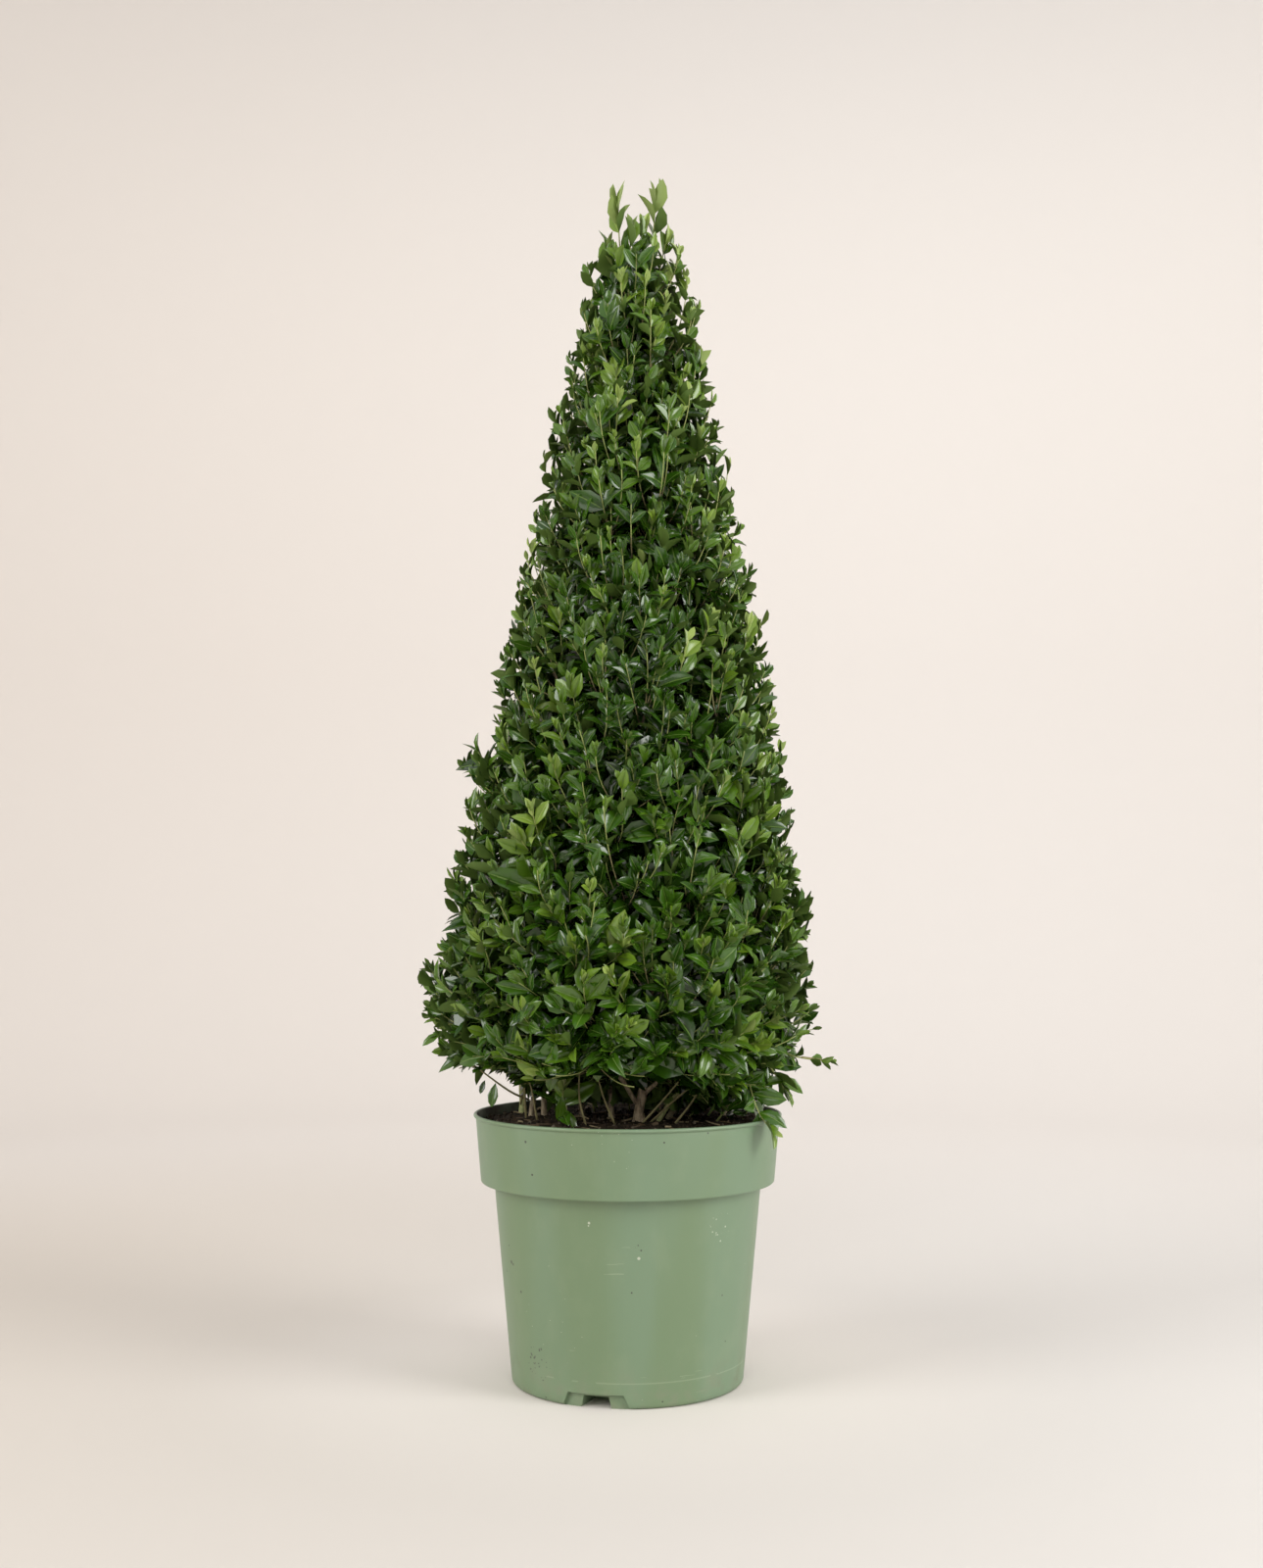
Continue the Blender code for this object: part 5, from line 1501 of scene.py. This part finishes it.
class TOPIARY_OT_twigs(bpy.types.Operator):
    """Build the boughs, twigs and loose shoots that carry the leaves"""

    bl_idname = "topiary.twigs"
    bl_label = "Boughs and twigs"

    def execute(self, context):
        settings = context.scene.topiary_foliage
        grown = grow_crown(settings)
        finishes = plain_finishes(TWIG_TONES)
        points, quads, triangles = tubes(*grown["boughs"], TUBE_SIDES)
        attach(put_mesh("boughs", points, (quads, triangles), finishes[:1]), "bark")
        surface, inner = grown["twigs"]
        paths, radii = (np.concatenate((surface[key], inner[key])) for key in ("paths", "radii"))
        masses = mass_of(paths[:, -3])
        by_ring = np.repeat(np.array((0, 0, 1, 1, 2, 2, 2, 2)), TWIG_SIDES)
        by_end = np.repeat(np.array((0, 2)), TWIG_SIDES)
        for index, name in enumerate(MASSES):
            chosen = masses == index
            points, quads, triangles = tubes(paths[chosen], radii[chosen], TWIG_SIDES)
            count = int(chosen.sum())
            dealt = np.concatenate((np.tile(by_ring, count), np.tile(by_end, count)))
            attach(put_mesh(f"twigs_{name}", points, (quads, triangles), finishes, dealt), "bark")
        loose = loose_growth(settings)[0]
        bare = np.array([shoot_path(path) for path in BARE_TWIGS])
        paths = np.concatenate((loose, bare))
        counts = (len(loose), len(bare))
        radii = taper(np.repeat((SHOOT_FOOT, BARE_TWIG_FOOT), counts), SHOOT_TIP, SHOOT_POINTS)
        points, quads, triangles = tubes(paths, radii, TUBE_SIDES)
        dealt = by_tube(np.repeat((2, 1), counts), SHOOT_POINTS, TUBE_SIDES)
        attach(put_mesh("loose_shoots", points, (quads, triangles), finishes, dealt), "bark")
        return {"FINISHED"}


class TOPIARY_OT_leaves(bpy.types.Operator):
    """Build the leaves of every mass, front and back apart"""

    bl_idname = "topiary.leaves"
    bl_label = "Leaves"

    def execute(self, context):
        settings = context.scene.topiary_foliage
        grown = grow_crown(settings)
        shaded = grown["shaded_leaves"]
        masses = mass_of(shaded["base"])
        for index, name in enumerate(MASSES):
            piece = make_leaves(f"leaves_{name}_shaded", pick(shaded, masses == index), True)
            attach(piece, "leaves", f"crown_{name}")
        leaves = grown["leaves"]
        masses = mass_of(leaves["base"])
        loose = loose_growth(settings)[1]
        masses = np.concatenate((masses, loose.pop("mass")))
        leaves = join([leaves, loose])
        front = leaves["base"][:, 1] < 0.0
        for index, name in enumerate(MASSES):
            for side, chosen in (("front", front), ("back", ~front)):
                piece = make_leaves(f"leaves_{name}_{side}", pick(leaves, (masses == index) & chosen))
                attach(piece, "leaves", f"crown_{name}")
        return {"FINISHED"}


def area_light(name, power, place, target, size, colour, spread):
    """A soft rectangular light that looks at a point, spreads by so many degrees and isn't seen itself."""
    data = bpy.data.lights.new(name, "AREA")
    data.shape = "RECTANGLE"
    data.size, data.size_y = size
    data.energy = power
    data.color = colour
    data.spread = math.radians(spread)
    light = bpy.data.objects.new(name, data)
    light.location = place
    away = np.array(place) - np.array(target)
    flat = math.hypot(away[0], away[1])
    light.rotation_euler = (math.atan2(flat, away[2]), 0.0, math.atan2(away[0], -away[1]))
    light.visible_camera = False
    bpy.context.scene.collection.objects.link(light)


class TOPIARY_OT_stage(bpy.types.Operator):
    """Set the pale floor that sweeps up into a wall, the studio lights and the camera"""

    bl_idname = "topiary.stage"
    bl_label = "Stage"

    def execute(self, context):
        settings = context.scene.topiary_stage
        scene = context.scene
        scene.view_settings.view_transform = "Standard"
        turn = np.radians(np.linspace(-90.0, 0.0, 13))
        radius = [0.0, 0.4, 0.9, 1.6, *(2.3 + 1.2 * np.cos(turn)), 3.5, 3.5]
        height = [0.0, 0.0, 0.0, 0.0, *(1.2 + 1.2 * np.sin(turn)), 2.4, 3.6]
        angle = full_turn(STAGE_SIDES)[None]
        grid = around(np.array(radius)[:, None], angle, np.array(height)[:, None])
        points = grid[1:].reshape(-1, 3)
        quads, fans = ring_faces(len(grid) - 1, STAGE_SIDES)
        # A face that starts one corner later is split along its other diagonal.
        quads = np.roll(quads, -1, axis=1)
        colour = tuple(settings.colour)
        finish = Finish("floor_paper", colour, 0.9)
        side = finish.node("ShaderNodeSeparateXYZ", None, {0: finish.place()}).value("X")
        painted_shade_left, wall_left_painted_shade, wall_right_painted_light, near = (
            tuple(channel * share for channel, share in zip(colour, shares))
            for shares in FLOOR_PAINTED_LIGHT_SHARES
        )
        # Painted shade: the floor darker and warmer towards the left, the wall darker far left and lighter
        # far right.
        paper = finish.mix(finish.band(side, -1.4, 0.9), rgba(painted_shade_left), rgba(colour, 1.02))
        wall = finish.mix(finish.band(side, -2.4, 1.2), rgba(wall_left_painted_shade), rgba(wall_right_painted_light))
        reach = finish.node("ShaderNodeVectorMath", {"operation": "LENGTH"}, {0: finish.place()})
        paper = finish.mix(finish.band(reach.value("Value"), 0.7, 2.2), paper, wall)
        # Painted light: the floor lighter round the pot's foot, against the shade that falls there.
        painted_light_mask = 1.0 - finish.band(finish.distance(finish.place(), (0.0, 0.05, 0.0)), 0.14, 0.46)
        finish.set("Base Color", finish.mix(painted_light_mask, paper, rgba(near)))
        points = np.concatenate((points, [(0.0, 0.0, 0.0)]))
        put_mesh("floor", points, (quads, fans[:STAGE_SIDES]), [finish.material])
        for name, setup in LIGHTS.items():
            area_light(name, getattr(settings, f"{name}_power"), *setup)
        world = bpy.data.worlds.new("studio_air")
        world.use_nodes = True
        air = world.node_tree.nodes["Background"]
        air.inputs["Color"].default_value = AIR_COLOUR
        air.inputs["Strength"].default_value = settings.ambient
        scene.world = world
        data = bpy.data.cameras.new("camera")
        data.lens = CAMERA_LENS
        data.sensor_width = 36.0
        data.clip_start = 0.05
        camera = bpy.data.objects.new("camera", data)
        camera.location = CAMERA_PLACE
        camera.rotation_euler = (math.pi / 2 + CAMERA_PITCH, 0.0, 0.0)
        scene.collection.objects.link(camera)
        scene.camera = camera
        return {"FINISHED"}


class TOPIARY_PT_panel(bpy.types.Panel):
    """Lists the pieces of the potted pyramid"""

    bl_idname = "TOPIARY_PT_panel"
    bl_label = "Potted holly pyramid"
    bl_space_type = "VIEW_3D"
    bl_region_type = "UI"
    bl_category = "Topiary"

    def draw(self, context):
        for operator in OPERATORS:
            self.layout.operator(operator.bl_idname)
        for group in SETTINGS:
            box = self.layout.box()
            for field in SETTINGS[group].__annotations__:
                box.prop(getattr(context.scene, group), field)


OPERATORS = (
    TOPIARY_OT_stage,
    TOPIARY_OT_pot,
    TOPIARY_OT_compost,
    TOPIARY_OT_limbs,
    TOPIARY_OT_twigs,
    TOPIARY_OT_leaves,
)
SETTINGS = {
    "topiary_pot": PotSettings,
    "topiary_compost": CompostSettings,
    "topiary_foliage": FoliageSettings,
    "topiary_stage": StageSettings,
}


def register():
    """Registers the settings, the operators and the panel."""
    for name, group in SETTINGS.items():
        bpy.utils.register_class(group)
        setattr(bpy.types.Scene, name, bpy.props.PointerProperty(type=group))
    for kind in (*OPERATORS, TOPIARY_PT_panel):
        bpy.utils.register_class(kind)


def unregister():
    """Takes them out again."""
    for kind in reversed((*OPERATORS, TOPIARY_PT_panel)):
        bpy.utils.unregister_class(kind)
    for name, group in SETTINGS.items():
        delattr(bpy.types.Scene, name)
        bpy.utils.unregister_class(group)


def main():
    """Registers the add-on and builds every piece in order."""
    register()
    bpy.ops.topiary.stage()
    bpy.ops.topiary.pot()
    bpy.ops.topiary.compost()
    bpy.ops.topiary.limbs()
    bpy.ops.topiary.twigs()
    bpy.ops.topiary.leaves()


if __name__ == "__main__":
    main()
